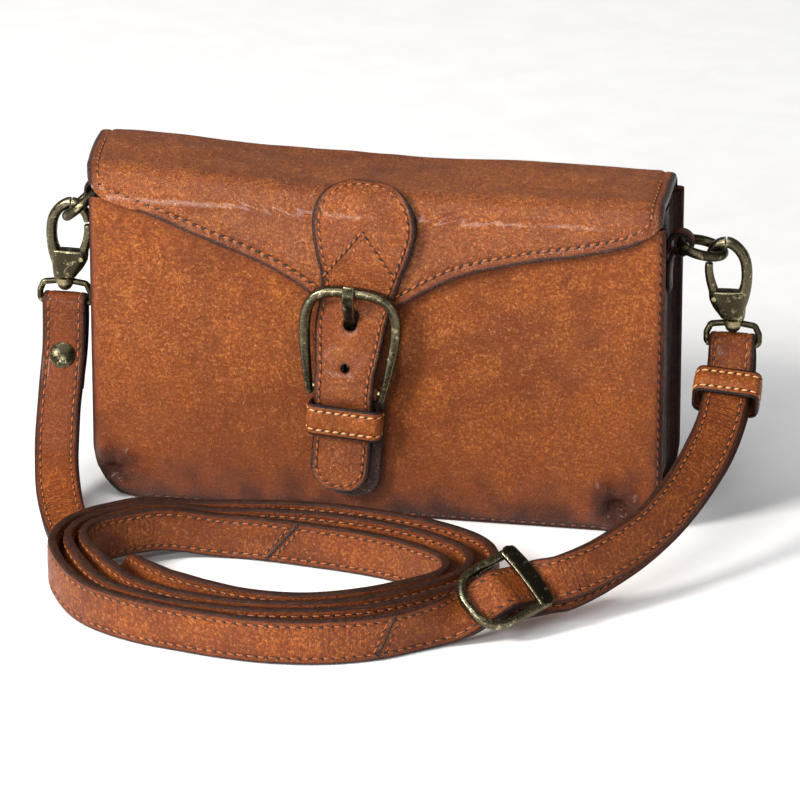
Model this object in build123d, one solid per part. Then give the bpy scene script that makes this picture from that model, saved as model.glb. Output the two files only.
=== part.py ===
from build123d import *
import math
import os

# Small leather sling bag: boxy body, shaped flap with a buckled strap, detachable shoulder strap.
# Millimetres. The origin is the middle of the bag's base, +Z is up and the front faces -Y.

# ---- driving dimensions ----
BAG_W = 200.0            # over the stitched flanges
BAG_D = 45.0             # front panel face to back panel face
BAG_H = 120.0            # base to the top of the flap
LEATHER = 2.0            # panel leather
FLANGE_PROUD = 2.5       # flange beyond the gusset wall
FLANGE_T = 1.5           # turned edge of the gusset inside each flange
CORNER_R = 20.0          # lower corners of the panels
FRONT_TOP = 111.0        # top edge of the front panel
BACK_TOP = 112.0         # top edge of the back panel
PADDING_T = 1.8
LINING_T = 0.8
FLAP_T = 2.2
FLAP_LINING_T = 0.6
FLAP_W = 198.0
FLAP_GAP = 0.4           # flap lining to front panel
FLAP_FRONT = -BAG_D / 2 - FLAP_GAP - FLAP_LINING_T - FLAP_T
HINGE_Y = 21.4           # fold line of the flap, at the rear top edge
HINGE_Z = 114.0

TILT = 4.1               # lean of the buckled strap, degrees about +Y
TAB_X = -3.0             # its centre line where it leaves the flap's top edge
TAB_PIVOT_Z = 110.0
TAB_W = 20.4
TAB_T = 2.2
TAB_HEAD_R = 16.4
TAB_HEAD_Z = 102.5
CLOSURE_Z = 80.0         # line where the strap leaves the flap and can lift
CLOSURE_Y = FLAP_FRONT - TAB_T / 2
TIP_Z = 10.7
UNDER_SHIFT = 1.2        # the under strap sits a little to the right
UNDER_FRONT = -27.7
UNDER_T = 2.0
BUCKLE_Y = -29.9
BUCKLE_WIRE = 1.85       # radius
BAR_Y = -28.9
BAR_Z = 48.0
BAR_R = 1.4
FOLD_R = 2.45
PRONG_R = 1.25
MAGNET_R = 7.0
MAGNET_T = 1.5
MAGNET_Z = 21.0

RING_R = 7.4             # wire centre line
RING_WIRE = 1.75
LOOP_R = 2.9             # inside the leather loop
LOOP_WALL = 1.5
LOOP_HALF = 3.2
HOOK_T = 4.2
HOOK_BASE_T = 5.6
HOOK_BASE_Z = 72.6
GATE_T = 3.2
GATE_U = -6.4            # gate pivot, from the swivel axis towards the bag
GATE_Z = 80.0
EYE_BAR_Z = 63.6
EYE_WIRE = 1.1
EYE_HALF = 9.0
POST_R = 1.5
HEAD_Z = 70.5            # middle of the swivel post's domed head
HEAD_R = 2.8
RUNNING = 0.05           # radial clearance of a running fit
PIN_R = 0.8

STRAP_W = 15.5
STRAP_T = 3.4
CROSSING = (-84.0, -92.0)    # where the coil rides over the strap's own tail
CROSSING_LIFT = 4.3
CROSSING_CORE = 20.0
CROSSING_REACH = 50.0
KEEPER_Z = 52.5
STEPS = 4                # samples between two points of a route

# Each side's hardware: sign of X, loop axis, ring droop in degrees, swivel axis.
LEFT = {"sign": -1, "loop_x": 101.9, "loop_z": 105.3, "droop": 42.0, "swivel_x": 114.3}
RIGHT = {"sign": 1, "loop_x": 102.2, "loop_z": 98.9, "droop": 12.0, "swivel_x": 120.5}

# Centre line of the coiled strap on the floor, from the slider inwards.
COIL_ROUTE = [
    (36, -140), (28, -147), (17, -153), (3, -157), (-12, -158), (-26, -156.2), (-40, -153.2),
    (-53, -149.5), (-65, -144), (-75.5, -136.5), (-84, -127.5), (-90, -117), (-92.3, -106),
    (-91.3, -95), (-87, -85.3), (-79.5, -77), (-70, -68.5), (-58, -60.8), (-45, -56.6),
    (-30, -54), (-15, -53), (0, -54.3), (14, -57), (27, -61.3), (38, -66.8), (47, -74),
    (52.5, -83), (54.2, -93.5), (52.3, -104), (47, -114.5), (39.5, -124), (31, -133),
    (20, -141), (6, -146.5), (-9, -149.6), (-24, -150), (-38, -148), (-51, -144),
    (-62.5, -138.4), (-73, -130.5), (-81, -121), (-86, -111.5), (-87.8, -102.5),
    (-86.2, -93.5), (-82, -86.3), (-74.5, -78.8), (-65, -71.5), (-53, -66.2), (-39, -63),
    (-24, -61.3), (-9, -61.8), (6, -64.3), (20, -68.6), (32, -74.6), (41, -81.5), (46, -90),
    (46.6, -99), (43.3, -108), (36.6, -117), (27.5, -126.5), (16, -135), (3, -140.5),
    (-11, -143.3), (-25, -143.3), (-38.5, -140.6), (-51, -135.8), (-62.5, -129), (-72, -121),
    (-79, -112.5), (-83, -103.5), (-82.2, -95.3), (-77.5, -88.8), (-69.5, -82), (-60, -75.5),
    (-49, -71), (-36, -69.6), (-22, -71), (-8, -73.3), (6, -76), (18, -80), (28.5, -85.5),
    (36.5, -92), (39.6, -99), (38.5, -106), (33, -113), (24.5, -121), (14, -128.6),
    (2, -133.8), (-11, -135.6), (-24, -133.8), (-37, -129), (-49.5, -122.8),
]

# The tail: (centre, direction across the strap, thickness), from the coil up to the left hook.
DROP_ROUTE = [
    ((-49.8, -122.7, 7.75), (0, 0, 1), STRAP_T), ((-60, -116.8, 8.2), (0.12, 0.12, 0.98), STRAP_T),
    ((-68, -110.8, 7.3), (0.5, 0.45, 0.72), STRAP_T), ((-74.5, -104, 3.4), (0.72, 0.6, 0.15), STRAP_T),
    ((-80.5, -96, 1.9), (0.78, 0.62, 0), STRAP_T), ((-86, -87.2, 1.85), (0.84, 0.53, 0), STRAP_T),
    ((-91, -78, 1.8), (0.87, 0.48, 0), STRAP_T), ((-96, -68, 2.2), (0.89, 0.45, 0.02), STRAP_T),
    ((-101, -57.5, 3.7), (0.92, 0.36, 0.14), STRAP_T), ((-105.5, -47, 7.0), (0.94, 0.26, 0.22), STRAP_T),
    ((-109.3, -36, 11.6), (0.97, 0.15, 0.18), STRAP_T), ((-112, -25.5, 18), (0.99, 0.08, 0.1), STRAP_T),
    ((-113.5, -16.5, 27), (1, 0, 0.04), STRAP_T), ((-114.1, -9.5, 36), (1, 0, 0), STRAP_T),
    ((-114.3, -4.5, 45), (1, 0, 0), STRAP_T), ((-114.3, -1.2, 53), (1, 0, 0), 3.8),
    ((-114.3, 0, 60), (1, 0, 0), 6.4), ((-114.3, 0, EYE_BAR_Z), (1, 0, 0), 6.6),
]

# The slider lies across the doubled run: its middle, and its directions along and across the strap.
SLIDER_C = Vector(60.6, -119.4, 14.2)
SLIDER_ALONG = Vector(0.652, 0.727, 0.211)
SLIDER_ACROSS = Vector(-0.673, 0.446, 0.589)
SLIDER_UP = SLIDER_ALONG.cross(SLIDER_ACROSS)
SLIDER_HALF_L = 12.0
SLIDER_HALF_W = 10.9
SLIDER_WIRE = 1.6
SLIDER_BAR_R = 1.2
SLIDER_BAR_DROP = 3.5


def at_slider(along, across, up):
    p = SLIDER_C + SLIDER_ALONG * along + SLIDER_ACROSS * across + SLIDER_UP * up
    return (p.X, p.Y, p.Z)


# The doubled run from the slider up to the right hook: (centre, direction across, thickness) of its
# outer layer, and how far behind that the inner layer lies.
FOLD_T = 2.6
RUN_ROUTE = [
    ((36.3, -139.7, 7.8), (0, 0, 1), STRAP_T), ((43.5, -132.8, 8.0), (-0.15, 0.1, 0.98), STRAP_T),
    (at_slider(-12.5, 0.6, -4.0), (-0.65, 0.43, 0.62), STRAP_T),
    (at_slider(-6.5, 0.4, -1.8), (-0.673, 0.446, 0.589), STRAP_T),
    (at_slider(0, 0, 1.4), (-0.673, 0.446, 0.589), STRAP_T),
    (at_slider(5.5, -0.4, -0.9), (-0.673, 0.446, 0.589), STRAP_T),
    (at_slider(10, -0.9, -2.5), (-0.67, 0.44, 0.60), STRAP_T),
    (at_slider(16, -2.6, -2.3), (-0.58, 0.38, 0.70), STRAP_T),
    ((80, -105.5, 15.6), (-0.42, 0.28, 0.86), STRAP_T), ((90.5, -95, 18), (-0.34, 0.2, 0.92), STRAP_T),
    ((101.3, -80, 22), (-0.42, 0.12, 0.9), STRAP_T), ((109.5, -64, 27.5), (-0.6, 0, 0.8), STRAP_T),
    ((115.5, -45, 34.5), (-0.78, 0, 0.63), STRAP_T), ((119.2, -28, 42), (-0.9, 0, 0.43), STRAP_T),
    ((120.5, -14.5, 50), (-0.98, 0, 0.18), STRAP_T), ((120.5, -5.8, 57), (-1, 0, 0), 3.0),
    ((120.5, -2.7, EYE_BAR_Z), (-1, 0, 0), FOLD_T),
]
RETURN_START = 4
RETURN_T = 2.6
RETURN_GAP = [6.0, 4.3, 3.5, 3.6, 4.3, 4.5, 4.8, 5.0, 5.2, 5.0, 5.0, 5.2, 5.4]

FLAP_EDGE_LEFT = [(-96.5, 111), (-83, 106.4), (-71.5, 102.2), (-60.5, 98), (-49, 93.9), (-38, 89.5),
                  (-29.5, 85), (-21, 79.5), (-13, 75.5)]
FLAP_EDGE_RIGHT = [(97.5, 111), (88.5, 104.4), (71, 99.6), (57, 97), (44.5, 94.2), (35, 91.6),
                   (27, 88.6), (18.5, 84), (10, 78.8), (2, 75.5)]


# ---- helpers ----
def smooth(points, steps):
    """Catmull-Rom samples through the points, ends included."""
    pts = [Vector(*p) if not isinstance(p, Vector) else p for p in points]
    pts = [pts[0] * 2 - pts[1]] + pts + [pts[-1] * 2 - pts[-2]]
    out = []
    for a, b, c, d in zip(pts, pts[1:], pts[2:], pts[3:]):
        for k in range(steps):
            u = k / steps
            out.append((b * 2 + (c - a) * u + (a * 2 - b * 5 + c * 4 - d) * u ** 2
                        + (b * 3 - a - c * 3 + d) * u ** 3) * 0.5)
    return out + [pts[-2]]


def route(rows):
    """Smooth centres, across directions and thicknesses of a strap's route."""
    centres = smooth([c for c, _, _ in rows], STEPS)
    across = smooth([a for _, a, _ in rows], STEPS)
    thick = [t.X for t in smooth([(t, 0, 0) for _, _, t in rows], STEPS)]
    return centres, across, thick


def ribbon(centres, across, thick, width=STRAP_W):
    """A strap: rectangles set square to the centre line, joined by ruled faces."""
    wires = []
    for i, c in enumerate(centres):
        ahead = centres[min(i + 1, len(centres) - 1)]
        behind = centres[max(i - 1, 0)]
        along = (ahead - behind).normalized()
        side = (across[i] - along * across[i].dot(along)).normalized() * (width / 2)
        face = along.cross(side).normalized() * (thick[i] / 2)
        wires.append(Wire.make_polygon([c + side + face, c - side + face, c - side - face,
                                        c + side - face], close=True))
    return Solid.make_loft(wires, ruled=True)


def slab(outline, y_front, y_back):
    """An XZ outline given a thickness from y_front to y_back."""
    return extrude(Plane.XZ.offset(-y_front) * outline, amount=-(y_back - y_front))


def tilted(shape):
    """Leans a part of the buckled strap as the whole closure leans."""
    return shape.rotate(Axis((TAB_X, 0, TAB_PIVOT_Z), (0, 1, 0)), TILT)


def box(x0, x1, y0, y1, z0, z1):
    return Pos((x0 + x1) / 2, (y0 + y1) / 2, (z0 + z1) / 2) * Box(x1 - x0, y1 - y0, z1 - z0)


def rod(p, q, r):
    """A round rod from p to q."""
    start, end = Vector(*p), Vector(*q)
    plane = Plane(start, z_dir=(end - start))
    return extrude(plane * Circle(r), amount=(end - start).length)


def wire_loop(path, r):
    """A round wire of radius r along a path."""
    return sweep(Plane(path @ 0, z_dir=path % 0) * Circle(r), path=path)


def body_outline(half_w, top, bottom, corner, top_corner):
    """Outline of a bag panel in XZ: rounded lower corners, nearly square upper ones."""
    shape = Polygon((-half_w, bottom), (half_w, bottom), (half_w, top), (-half_w, top), align=None)
    low = shape.vertices().sort_by(Axis.Y)
    shape = fillet(low[:2], corner)
    return fillet(shape.vertices().sort_by(Axis.Y)[-2:], top_corner)


# ---- bag body ----
def front_panel():
    plate = slab(body_outline(BAG_W / 2, FRONT_TOP, 0, CORNER_R, 4), -BAG_D / 2, -BAG_D / 2 + LEATHER)
    return fillet(plate.faces().sort_by(Axis.Y)[0].edges(), 1.6)


def back_panel():
    return slab(body_outline(BAG_W / 2, BACK_TOP, 0, CORNER_R, 6), BAG_D / 2 - LEATHER, BAG_D / 2)


def gusset():
    """One strip round both sides and the base, with a turned edge behind each flange."""
    half = BAG_W / 2 - FLANGE_PROUD
    y_in = BAG_D / 2 - LEATHER
    wall = slab(body_outline(half, FRONT_TOP, 0, CORNER_R - 2, 0.5), -y_in, y_in)
    hollow = slab(body_outline(half - LEATHER, FRONT_TOP + 5, LEATHER, CORNER_R - 4, 0.5), -y_in, y_in)
    rim = body_outline(BAG_W / 2, FRONT_TOP, 0, CORNER_R, 4)
    flanges = slab(rim, -y_in, -y_in + FLANGE_T) + slab(rim, y_in - FLANGE_T, y_in)
    return wall + flanges - hollow


def front_padding():
    half = BAG_W / 2 - FLANGE_PROUD - LEATHER - 0.2
    outline = body_outline(half, FRONT_TOP - 1, LEATHER + 0.2, CORNER_R - 4.2, 1)
    y = -BAG_D / 2 + LEATHER
    magnet_hole = rod((TAB_X, y - 1, MAGNET_Z), (TAB_X, y + PADDING_T + 1, MAGNET_Z), MAGNET_R + 0.8)
    return slab(outline, y, y + PADDING_T) - tilted(magnet_hole)


def lining():
    """Fabric lining: an open-topped bag inside the body."""
    half = BAG_W / 2 - FLANGE_PROUD - LEATHER - 0.2
    low = LEATHER + 0.2
    y0 = -BAG_D / 2 + LEATHER + PADDING_T
    y1 = BAG_D / 2 - LEATHER
    outer = slab(body_outline(half, FRONT_TOP - 2, low, CORNER_R - 4.2, 1), y0, y1)
    inner = slab(body_outline(half - LINING_T, FRONT_TOP + 5, low + LINING_T, CORNER_R - 5, 1),
                 y0 + LINING_T, y1 - LINING_T)
    return outer - inner


# ---- inner pocket with its zip ----
POCKET_Y = BAG_D / 2 - LEATHER - LINING_T        # front face of the lining's back wall
ZIP_Z = 92.0
ZIP_HALF = 66.0
TOOTH_PITCH = 3.0


def pocket_panel():
    return box(-ZIP_HALF - 6, ZIP_HALF + 6, POCKET_Y - 0.9, POCKET_Y, 24, ZIP_Z - 6)


def zip_tape():
    low = box(-ZIP_HALF - 6, ZIP_HALF + 6, POCKET_Y - 0.7, POCKET_Y, ZIP_Z - 6, ZIP_Z - 1)
    high = box(-ZIP_HALF - 6, ZIP_HALF + 6, POCKET_Y - 0.7, POCKET_Y, ZIP_Z + 1, ZIP_Z + 6)
    return low + high


def zip_teeth():
    """Meshed teeth: a lower and an upper row, half a pitch apart."""
    teeth = []
    for i in range(int(2 * ZIP_HALF / TOOTH_PITCH)):
        x = -ZIP_HALF + i * TOOTH_PITCH
        teeth.append(box(x, x + 1.3, POCKET_Y - 1.9, POCKET_Y - 0.75, ZIP_Z - 1.8, ZIP_Z + 0.6))
        teeth.append(box(x + 1.5, x + 2.8, POCKET_Y - 1.9, POCKET_Y - 0.75, ZIP_Z - 0.6, ZIP_Z + 1.8))
    return Compound(children=teeth)


def zip_slider():
    x = -ZIP_HALF + 8
    body = box(x - 5, x + 5, POCKET_Y - 3.6, POCKET_Y - 0.9, ZIP_Z - 3.6, ZIP_Z + 3.6)
    channel = box(x - 6, x + 6, POCKET_Y - 2.1, POCKET_Y, ZIP_Z - 2.1, ZIP_Z + 2.1)
    bridge = box(x - 3.5, x + 3.5, POCKET_Y - 5.8, POCKET_Y - 3.6, ZIP_Z - 0.45, ZIP_Z + 0.45)
    eye = box(x - 2.2, x + 2.2, POCKET_Y - 4.9, POCKET_Y - 3.6, ZIP_Z - 1, ZIP_Z + 1)
    return body - channel + (bridge - eye)


def zip_pull():
    """Hangs from the bar of the slider's bridge by an eye that turns round it."""
    x = -ZIP_HALF + 8
    y = POCKET_Y - 5.35
    eye = rod((x - 1.5, y, ZIP_Z), (x + 1.5, y, ZIP_Z), 1.45)
    bore = rod((x - 2, y, ZIP_Z), (x + 2, y, ZIP_Z), 0.8)
    neck = box(x - 1.5, x + 1.5, y - 0.5, y + 0.5, ZIP_Z - 4, ZIP_Z - 1)
    blade = slab(RectangleRounded(5, 17, 2), y - 0.5, y + 0.5)
    return eye - bore + neck + Pos(x, 0, ZIP_Z - 11.5) * blade


# ---- flap and its buckled strap ----
def flap_outline(inset):
    """The flap seen from the front: two ogee edges meeting at a blunt point."""
    half = FLAP_W / 2 - inset
    left_edge = [(max(x, -half), z + inset) for x, z in FLAP_EDGE_LEFT]
    right_edge = [(min(x, half), z + inset) for x, z in FLAP_EDGE_RIGHT]
    left = Spline(left_edge)
    point = Line(left @ 1, right_edge[-1])
    right = Spline(right_edge[::-1])
    rim = Polyline(right @ 1, (half, right_edge[0][1] + 4), (half, 130), (-half, 130),
                   (-half, left_edge[0][1] + 4), left @ 0)
    return make_face(left + point + right + rim)


def flap_skin(depth, thick, inset):
    """One layer of the flap: from the hinge over the top and down the front."""
    half = FLAP_W / 2 - inset
    front, rear, top = FLAP_FRONT + depth, HINGE_Y + 0.6 - depth, BAG_H - depth
    outer = box(-half, half, front, rear, 60, top)
    outer = fillet(outer.edges().filter_by(Axis.X).group_by(Axis.Z)[-1], 5.5 - depth)
    inner = box(-half - 1, half + 1, front + thick, rear - thick, 59, top - thick)
    inner = fillet(inner.edges().filter_by(Axis.X).group_by(Axis.Z)[-1], 5.5 - depth - thick)
    below_hinge = box(-half - 1, half + 1, 0, BAG_D, 50, HINGE_Z + depth / 2)
    outline = slab(flap_outline(inset), FLAP_FRONT - 1, BAG_D)
    return (outer - inner - below_hinge) & outline


def tab_upper():
    """The pear-shaped head of the strap, sewn to the flap."""
    head = Pos(TAB_X, TAB_HEAD_Z) * Circle(TAB_HEAD_R)
    low = CLOSURE_Z + 1.2
    neck = Polygon((TAB_X - 15, TAB_HEAD_Z - 6.5), (TAB_X - 11.4, low), (TAB_X + 11.4, low),
                   (TAB_X + 15, TAB_HEAD_Z - 6.5), align=None)
    return tilted(slab(head + neck, FLAP_FRONT - TAB_T, FLAP_FRONT))


def strap_blank(x0, width, top, bottom):
    """Front outline of a strap end: square at the top, rounded at the tip."""
    half = width / 2
    blank = Polygon((x0 - half, bottom), (x0 + half, bottom), (x0 + half, top), (x0 - half, top),
                    align=None)
    return fillet(blank.vertices().sort_by(Axis.Y)[:2], half - 1.2)


def tab_strap():
    """From the flap's point under the buckle's top bar, over its lower bar and down to the tip."""
    line = [(CLOSURE_Y, CLOSURE_Z - 0.1), (-27.5, 74), (-29.3, 65), (-31.4, 57), (-32.7, 51.5),
            (-32.7, 47.3), (-31.4, 44.2), (-29.6, 41.6), (-28.95, 38.5), (-28.95, TIP_Z - 1)]
    front, back = [], []
    for i, (y, z) in enumerate(line):
        (y0, z0), (y1, z1) = line[max(i - 1, 0)], line[min(i + 1, len(line) - 1)]
        size = math.hypot(y1 - y0, z1 - z0)
        ny, nz = (z1 - z0) / size * TAB_T / 2, -(y1 - y0) / size * TAB_T / 2
        front.append((y + ny, z + nz))
        back.append((y - ny, z - nz))
    section = Plane.YZ * Polygon(*front, *back[::-1], align=None)
    strip = extrude(section, amount=TAB_W, both=True)
    outline = slab(strap_blank(TAB_X, TAB_W, CLOSURE_Z + 3, TIP_Z), -60, 0)
    hole = slab(Pos(TAB_X, 69.7) * SlotCenterToCenter(10.4, 3.8, rotation=90), -60, 0)
    spare_hole = slab(Pos(TAB_X, 56.6) * Circle(1.7), -60, 0)
    return tilted((strip & outline) - hole - spare_hole)


def under_strap():
    """Folded round the buckle's lower bar; the closing magnet is on its back."""
    x0 = TAB_X + UNDER_SHIFT
    plate = slab(strap_blank(x0, TAB_W, BAR_Z, TIP_Z - 2), UNDER_FRONT, UNDER_FRONT + UNDER_T)
    half = TAB_W / 2 - 0.2
    fold = rod((TAB_X - half, BAR_Y, BAR_Z), (TAB_X + half, BAR_Y, BAR_Z), FOLD_R)
    bar = rod((TAB_X - 20, BAR_Y, BAR_Z), (TAB_X + 20, BAR_Y, BAR_Z), BAR_R + RUNNING)
    slot = box(TAB_X - 2.1, TAB_X + 2.1, -34, -24, BAR_Z - 4.5, BAR_Z + 4)
    return tilted(plate + fold - bar - slot)


def buckle_frame():
    """Horseshoe frame with its lower bar."""
    leg_low, leg_high = (-12.65, 46.5), (-15.4, 66.6)
    lean = math.degrees(math.atan2(leg_low[0] - leg_high[0], leg_high[1] - leg_low[1]))
    turn = 180 + 2 * lean
    radius = -leg_high[0] / math.sin(math.radians(turn / 2))
    left = Line(leg_low, leg_high)
    arch = JernArc(left @ 1, left % 1, radius, -turn)
    right = Line(arch @ 1, (-leg_low[0], leg_low[1]))
    path = Pos(TAB_X, BUCKLE_Y, 0) * (Plane.XZ * (left + arch + right))
    bar = rod((TAB_X - 12.4, BAR_Y, BAR_Z), (TAB_X + 12.4, BAR_Y, BAR_Z), BAR_R)
    return tilted(wire_loop(path, BUCKLE_WIRE) + bar)


def buckle_prong():
    """Round the bar, up behind the strap, out through its hole and over the top bar."""
    line = Spline([(0, BAR_Y - 0.9, BAR_Z + 1.9), (0, -28.4, 56), (0, -27.0, 62.5), (0, -27.6, 69),
                   (0, -30.6, 76.6), (0, -33.1, 83.6), (0, -33.3, 86.6)])
    shaft = wire_loop(Pos(TAB_X, 0, 0) * line, PRONG_R)
    ring = rod((TAB_X - 1.8, BAR_Y, BAR_Z), (TAB_X + 1.8, BAR_Y, BAR_Z), 2.55)
    bore = rod((TAB_X - 3, BAR_Y, BAR_Z), (TAB_X + 3, BAR_Y, BAR_Z), BAR_R + RUNNING)
    return tilted(shaft + ring - bore)


def tab_keeper():
    x0 = TAB_X + UNDER_SHIFT / 2
    outer = box(x0 - 13.2, x0 + 13.2, -33.4, -23.9, 31.5, 42.5)
    outer = fillet(outer.edges().filter_by(Axis.Z), 1.5)
    inner = box(x0 - 11.5, x0 + 11.5, -31.8, -25.5, 30, 44)
    return tilted(outer - inner)


def magnet_male():
    return tilted(Pos(0, 0, 0) * rod((TAB_X, UNDER_FRONT + UNDER_T, MAGNET_Z),
                                     (TAB_X, UNDER_FRONT + UNDER_T + MAGNET_T, MAGNET_Z), MAGNET_R))


def magnet_female():
    y = -BAG_D / 2
    return tilted(rod((TAB_X, y - MAGNET_T, MAGNET_Z), (TAB_X, y, MAGNET_Z), MAGNET_R))


def magnet_washer():
    y = -BAG_D / 2 + LEATHER
    return tilted(rod((TAB_X, y, MAGNET_Z), (TAB_X, y + 0.8, MAGNET_Z), MAGNET_R + 0.5))


# ---- side hardware ----
def placed(shape, side):
    """Right-hand shapes are built at +X; the left side is their mirror image."""
    return shape if side["sign"] > 0 else mirror(shape, Plane.YZ)


def ring_loop(side):
    """Leather loop sewn to the gusset, with the ring through it."""
    x, z = side["loop_x"], side["loop_z"]
    wall = BAG_W / 2 - FLANGE_PROUD
    r_out = LOOP_R + LOOP_WALL
    tube = rod((x, -LOOP_HALF, z), (x, LOOP_HALF, z), r_out)
    tail = box(wall, wall + LOOP_WALL, -LOOP_HALF, LOOP_HALF, z - 17, z)
    bore = rod((x, -10, z), (x, 10, z), LOOP_R)
    return placed(tube + tail - bore, side)


def side_ring(side):
    droop = math.radians(side["droop"])
    centre = (side["loop_x"] + RING_R * math.cos(droop), 0, side["loop_z"] - RING_R * math.sin(droop))
    ring = Pos(*centre) * (Rot(0, side["droop"], 0) * Torus(RING_R, RING_WIRE))
    return placed(ring, side)


HOOK_OUTER = [(3.8, HOOK_BASE_Z), (5.4, 79), (6.2, 87), (5.0, 95), (1.2, 100.2), (-3.4, 101.9),
              (-7.6, 99.8), (-9.8, 95), (-10.2, 89), (-8.9, 82), (-6.4, 76.4), (-3.8, HOOK_BASE_Z)]
HOOK_MOUTH = [(-2.2, 81.2), (1.4, 84.8), (2.4, 90), (1.5, 95.2), (-1.4, 98.2), (-5.0, 98.2),
              (-7.1, 95.2), (-7.1, 89.5), (-5.4, 84.6)]
GATE_TOP_Z = 92.6


def hook_blank(side):
    """Front outline of the whole hook, gate included, in XZ."""
    x0 = side["swivel_x"]
    rim = Spline([(x0 + u, z) for u, z in HOOK_OUTER])
    outer = make_face(rim + Line(rim @ 1, rim @ 0))
    mouth = [(x0 + u, z) for u, z in HOOK_MOUTH]
    return outer - make_face(Spline(mouth, periodic=True))


def gate_window(side, gap):
    x0 = side["swivel_x"]
    low = GATE_Z - 2.6
    return Polygon((x0 - 14, low + gap), (x0 - 4.0 - gap, low + gap), (x0 - 4.0 - gap, 83.5),
                   (x0 - 2.5, 86.5), (x0 - 2.5, GATE_TOP_Z - 2 * gap), (x0 - 14, GATE_TOP_Z - 2 * gap - 0.6),
                   align=None)


def hook_body(side):
    """Hook with a broad base, slotted for the gate and bored for the swivel post."""
    x0 = side["swivel_x"]
    blank = hook_blank(side)
    limb = slab(blank, -HOOK_T / 2, HOOK_T / 2)
    limb = chamfer(limb.faces().sort_by(Axis.Y)[0].edges() + limb.faces().sort_by(Axis.Y)[-1].edges(), 0.6)
    base_area = Polygon((x0 - 14, 70), (x0 + 14, 70), (x0 + 14, 83.6), (x0 - 14, 83.6), align=None)
    base = slab(blank & base_area, -HOOK_BASE_T / 2, HOOK_BASE_T / 2)
    above = slab(gate_window(side, 0) - base_area, -5, 5)
    low = GATE_Z - 3.2
    swing = Polygon((x0 - 14, low), (x0 - 4.0, low), (x0 - 4.0, 79), (x0 - 2.1, 85), (x0 - 14, 85),
                    align=None)
    slot = slab(gate_window(side, 0), -GATE_T / 2 - 0.1, GATE_T / 2 + 0.1)
    slot += slab(swing, -GATE_T / 2 - 0.1, GATE_T / 2 + 0.1)
    bore = rod((x0, 0, HOOK_BASE_Z - 1), (x0, 0, HOOK_BASE_Z + 3.4), POST_R)
    pin = rod((x0 + GATE_U, -5, GATE_Z), (x0 + GATE_U, 5, GATE_Z), PIN_R)
    return placed(limb + base - above - slot - bore - pin, side)


def hook_gate(side):
    x0 = side["swivel_x"]
    blade = slab(hook_blank(side) & gate_window(side, 0.3), -GATE_T / 2, GATE_T / 2)
    pin = rod((x0 + GATE_U, -5, GATE_Z), (x0 + GATE_U, 5, GATE_Z), PIN_R + RUNNING)
    pocket = rod((x0 + GATE_U, -0.65, GATE_Z), (x0 + GATE_U, 0.65, GATE_Z), 1.7)
    return placed(blade - pin - pocket, side)


def gate_pin(side):
    x = side["swivel_x"] + GATE_U
    half = HOOK_BASE_T / 2
    return placed(rod((x, -half, GATE_Z), (x, half, GATE_Z), PIN_R), side)


def gate_spring(side):
    x = side["swivel_x"] + GATE_U
    coil = rod((x, -0.5, GATE_Z), (x, 0.5, GATE_Z), 1.5)
    return placed(coil - rod((x, -1, GATE_Z), (x, 1, GATE_Z), PIN_R + 0.2), side)


def swivel_post(side):
    """Post riveted into the hook's base, its domed head under the eye's collar."""
    x0 = side["swivel_x"]
    post = rod((x0, 0, HEAD_Z - 1), (x0, 0, HOOK_BASE_Z + 3.4), POST_R)
    dome = Pos(x0, 0, HEAD_Z) * Sphere(HEAD_R)
    below_collar = box(x0 - 5, x0 + 5, -5, 5, 60, HEAD_Z - 0.1)
    return placed(post + (dome & below_collar), side)


def swivel_eye(side):
    """Stirrup-shaped loop with a collar that turns on the post."""
    x0 = side["swivel_x"]
    half = [(2.0, 71.2), (7.6, 70.4), (EYE_HALF, 67.4), (EYE_HALF, EYE_BAR_Z)]
    corners = [(-u, z) for u, z in half] + half[::-1]
    path = FilletPolyline(*corners, radius=1.3)
    loop = wire_loop(Pos(x0, 0, 0) * (Plane.XZ * path), EYE_WIRE)
    bar = rod((x0 - EYE_HALF, 0, EYE_BAR_Z), (x0 + EYE_HALF, 0, EYE_BAR_Z), EYE_WIRE)
    collar = rod((x0, 0, HEAD_Z), (x0, 0, HOOK_BASE_Z - 0.2), 3.3)
    bore = rod((x0, 0, 60), (x0, 0, 75), POST_R + RUNNING)
    head_room = Pos(x0, 0, HEAD_Z) * Sphere(HEAD_R + 0.15) & box(x0 - 5, x0 + 5, -5, 5, 66, HEAD_Z)
    return placed(loop + collar - bore - head_room + bar, side)


# ---- shoulder strap ----
def lift(p):
    """Height of the coil above the floor where it crosses its own tail."""
    far = math.hypot(p.X - CROSSING[0], p.Y - CROSSING[1])
    share = min(max((far - CROSSING_CORE) / (CROSSING_REACH - CROSSING_CORE), 0), 1)
    return CROSSING_LIFT * (0.5 + 0.5 * math.cos(math.pi * share))


def strap_coil():
    """Three and a half turns standing on edge on the floor."""
    centres = [p + Vector(0, 0, STRAP_W / 2 + lift(p)) for p in smooth(COIL_ROUTE, 3)]
    up = Vector(0, 0, 1)
    return ribbon(centres, [up] * len(centres), [STRAP_T] * len(centres))


def strap_drop():
    """From the coil's inner end under the coil, then up to the left hook."""
    centres, across, thick = route(DROP_ROUTE)
    x0, half = -LEFT["swivel_x"], STRAP_W / 2 - 0.25
    fold = rod((x0 - half, 0, EYE_BAR_Z), (x0 + half, 0, EYE_BAR_Z), 3.3)
    bore = rod((x0 - 10, 0, EYE_BAR_Z), (x0 + 10, 0, EYE_BAR_Z), EYE_WIRE + 0.3)
    return ribbon(centres, across, thick) + fold - bore - rivet_post()


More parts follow.
